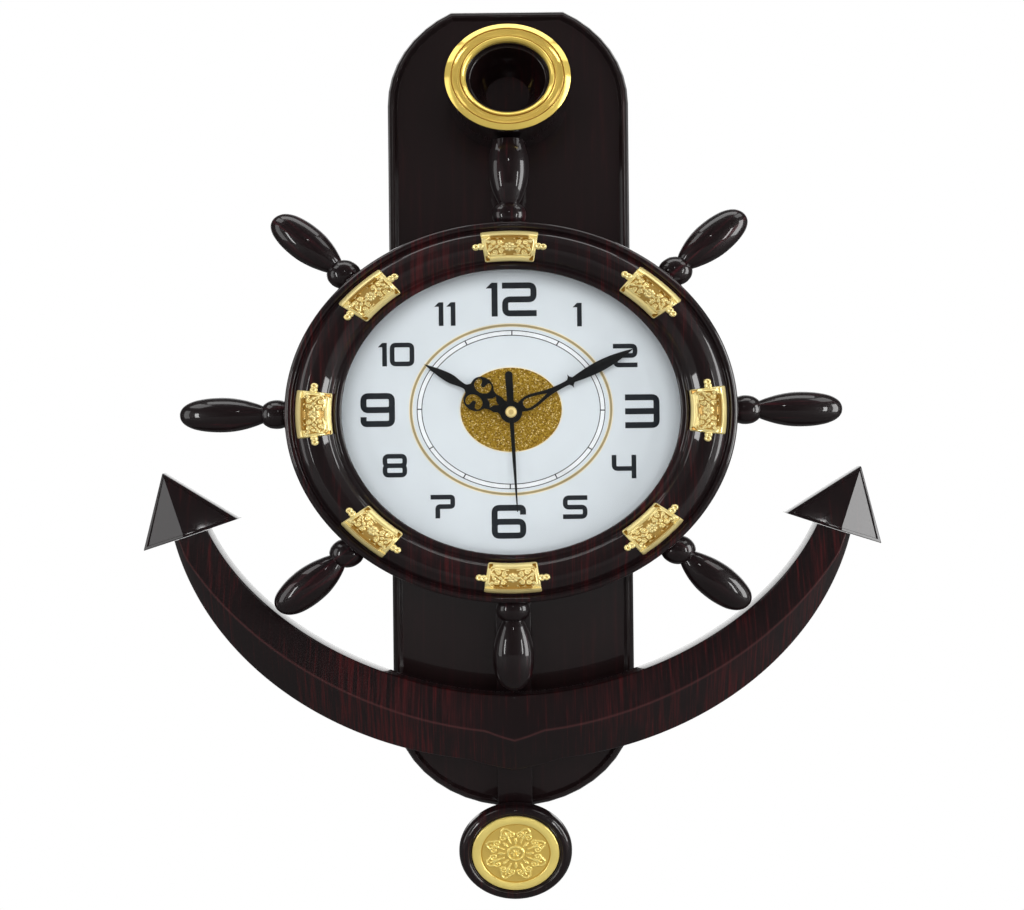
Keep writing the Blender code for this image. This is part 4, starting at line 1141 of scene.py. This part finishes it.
def see_white(owner, output, other, seen):
    """The camera sees plain white; light and reflections take the other shader."""
    path = add(owner, "ShaderNodeLightPath")
    mixed = add(owner, "ShaderNodeMixShader", {0: path.outputs["Is Camera Ray"],
                                              1: other.outputs[0], 2: seen.outputs[0]})
    owner.node_tree.links.new(mixed.outputs[0], output.inputs["Surface"])


def build_floor():
    bm = bmesh.new()
    bmesh.ops.create_circle(bm, cap_ends=True, radius=4.0, segments=96)
    bmesh.ops.translate(bm, vec=(0, 0, CAD_BOX[0].z - FLOOR_DROP), verts=bm.verts)
    mesh = bpy.data.meshes.new("floor")
    bm.to_mesh(mesh)
    bm.free()
    material, shader = blank("floor_white", (0.12, 0.12, 0.12), 0.8)
    glow = add(material, "ShaderNodeEmission", {"Strength": 1.0})
    see_white(material, material.node_tree.nodes["Material Output"], shader, glow)
    mesh.materials.append(material)
    floor = bpy.data.objects.new("floor", mesh)
    bpy.context.scene.collection.objects.link(floor)


def build_world():
    """White room behind the clock, dim in front, so that gloss stays dark face on."""
    world = bpy.data.worlds.new("studio")
    bpy.context.scene.world = world
    world.use_nodes = True
    world.node_tree.nodes.clear()
    direction = add(world, "ShaderNodeTexCoord").outputs["Generated"]
    depth = add(world, "ShaderNodeSeparateXYZ", {0: direction}).outputs["Y"]
    level = add(world, "ShaderNodeMapRange",
                {"Value": depth, "From Min": 0.55, "From Max": 0.98, "To Min": 0.06,
                 "To Max": 2.2}, interpolation_type="SMOOTHSTEP")
    room = add(world, "ShaderNodeBackground", {"Strength": level.outputs["Result"]})
    white = add(world, "ShaderNodeBackground", {"Color": (1, 1, 1, 1)})
    see_white(world, add(world, "ShaderNodeOutputWorld"), room, white)


def softbox(name, place, width, height, radiance, mirrored_in_gloss=True):
    """Area lamp that faces the clock; radiance is its brightness seen directly."""
    light = bpy.data.lights.new(name, "AREA")
    light.shape = "RECTANGLE"
    light.size = width
    light.size_y = height
    light.energy = radiance * math.pi * width * height
    lamp = bpy.data.objects.new(name, light)
    lamp.location = place
    lamp.visible_glossy = mirrored_in_gloss
    lamp.visible_camera = False
    towards = Vector((0, -0.03, AXIS.z)) - Vector(place)
    lamp.rotation_euler = towards.to_track_quat("-Z", "Y").to_euler()
    bpy.context.scene.collection.objects.link(lamp)


def build_camera():
    """Level with the wheel's middle, 0.77 m from the wall, tipped 0.6 degrees."""
    camera = bpy.data.cameras.new("camera")
    camera.lens = 39.0
    camera.sensor_width = 36.0
    camera.shift_x = 0.001
    camera.shift_y = -0.0537
    stand = bpy.data.objects.new("camera", camera)
    stand.location = CAMERA_PLACE
    stand.rotation_euler = (math.radians(90), math.radians(0.6), 0)
    bpy.context.scene.collection.objects.link(stand)
    bpy.context.scene.camera = stand


build_camera()
build_world()
build_floor()
softbox("left_box", (-0.90, -0.97, -0.28), 0.11, 0.50, 10.0)
softbox("right_box", (0.90, -0.97, -0.28), 0.11, 0.50, 10.0)
softbox("left_wall", (-1.30, -0.52, -0.20), 0.50, 1.1, 1.7)
softbox("right_wall", (1.30, -0.52, -0.20), 0.50, 1.1, 6.0)
softbox("upper_left", (-1.0, -0.42, 0.98), 0.8, 0.5, 2.0)
softbox("upper_right", (1.0, -0.42, 0.98), 0.8, 0.5, 2.0)
softbox("top_box", (0.0, -0.12, 1.25), 1.6, 0.60, 2.4)
softbox("front_fill", (0.0, -1.9, 0.15), 1.8, 1.4, 3.9, False)
softbox("small_lamp", (0.0, -1.1, 0.27), 0.05, 0.05, 16.0)
bpy.context.scene.view_settings.view_transform = "Standard"

soften_board()
build_ring()
build_bezel()
build_trim_plates()
build_spokes()
build_arms()
build_flukes()
build_print()
build_hour_hand()
build_minute_hand()
build_second_hand()
build_pendulum()
finish_kept_nodes()
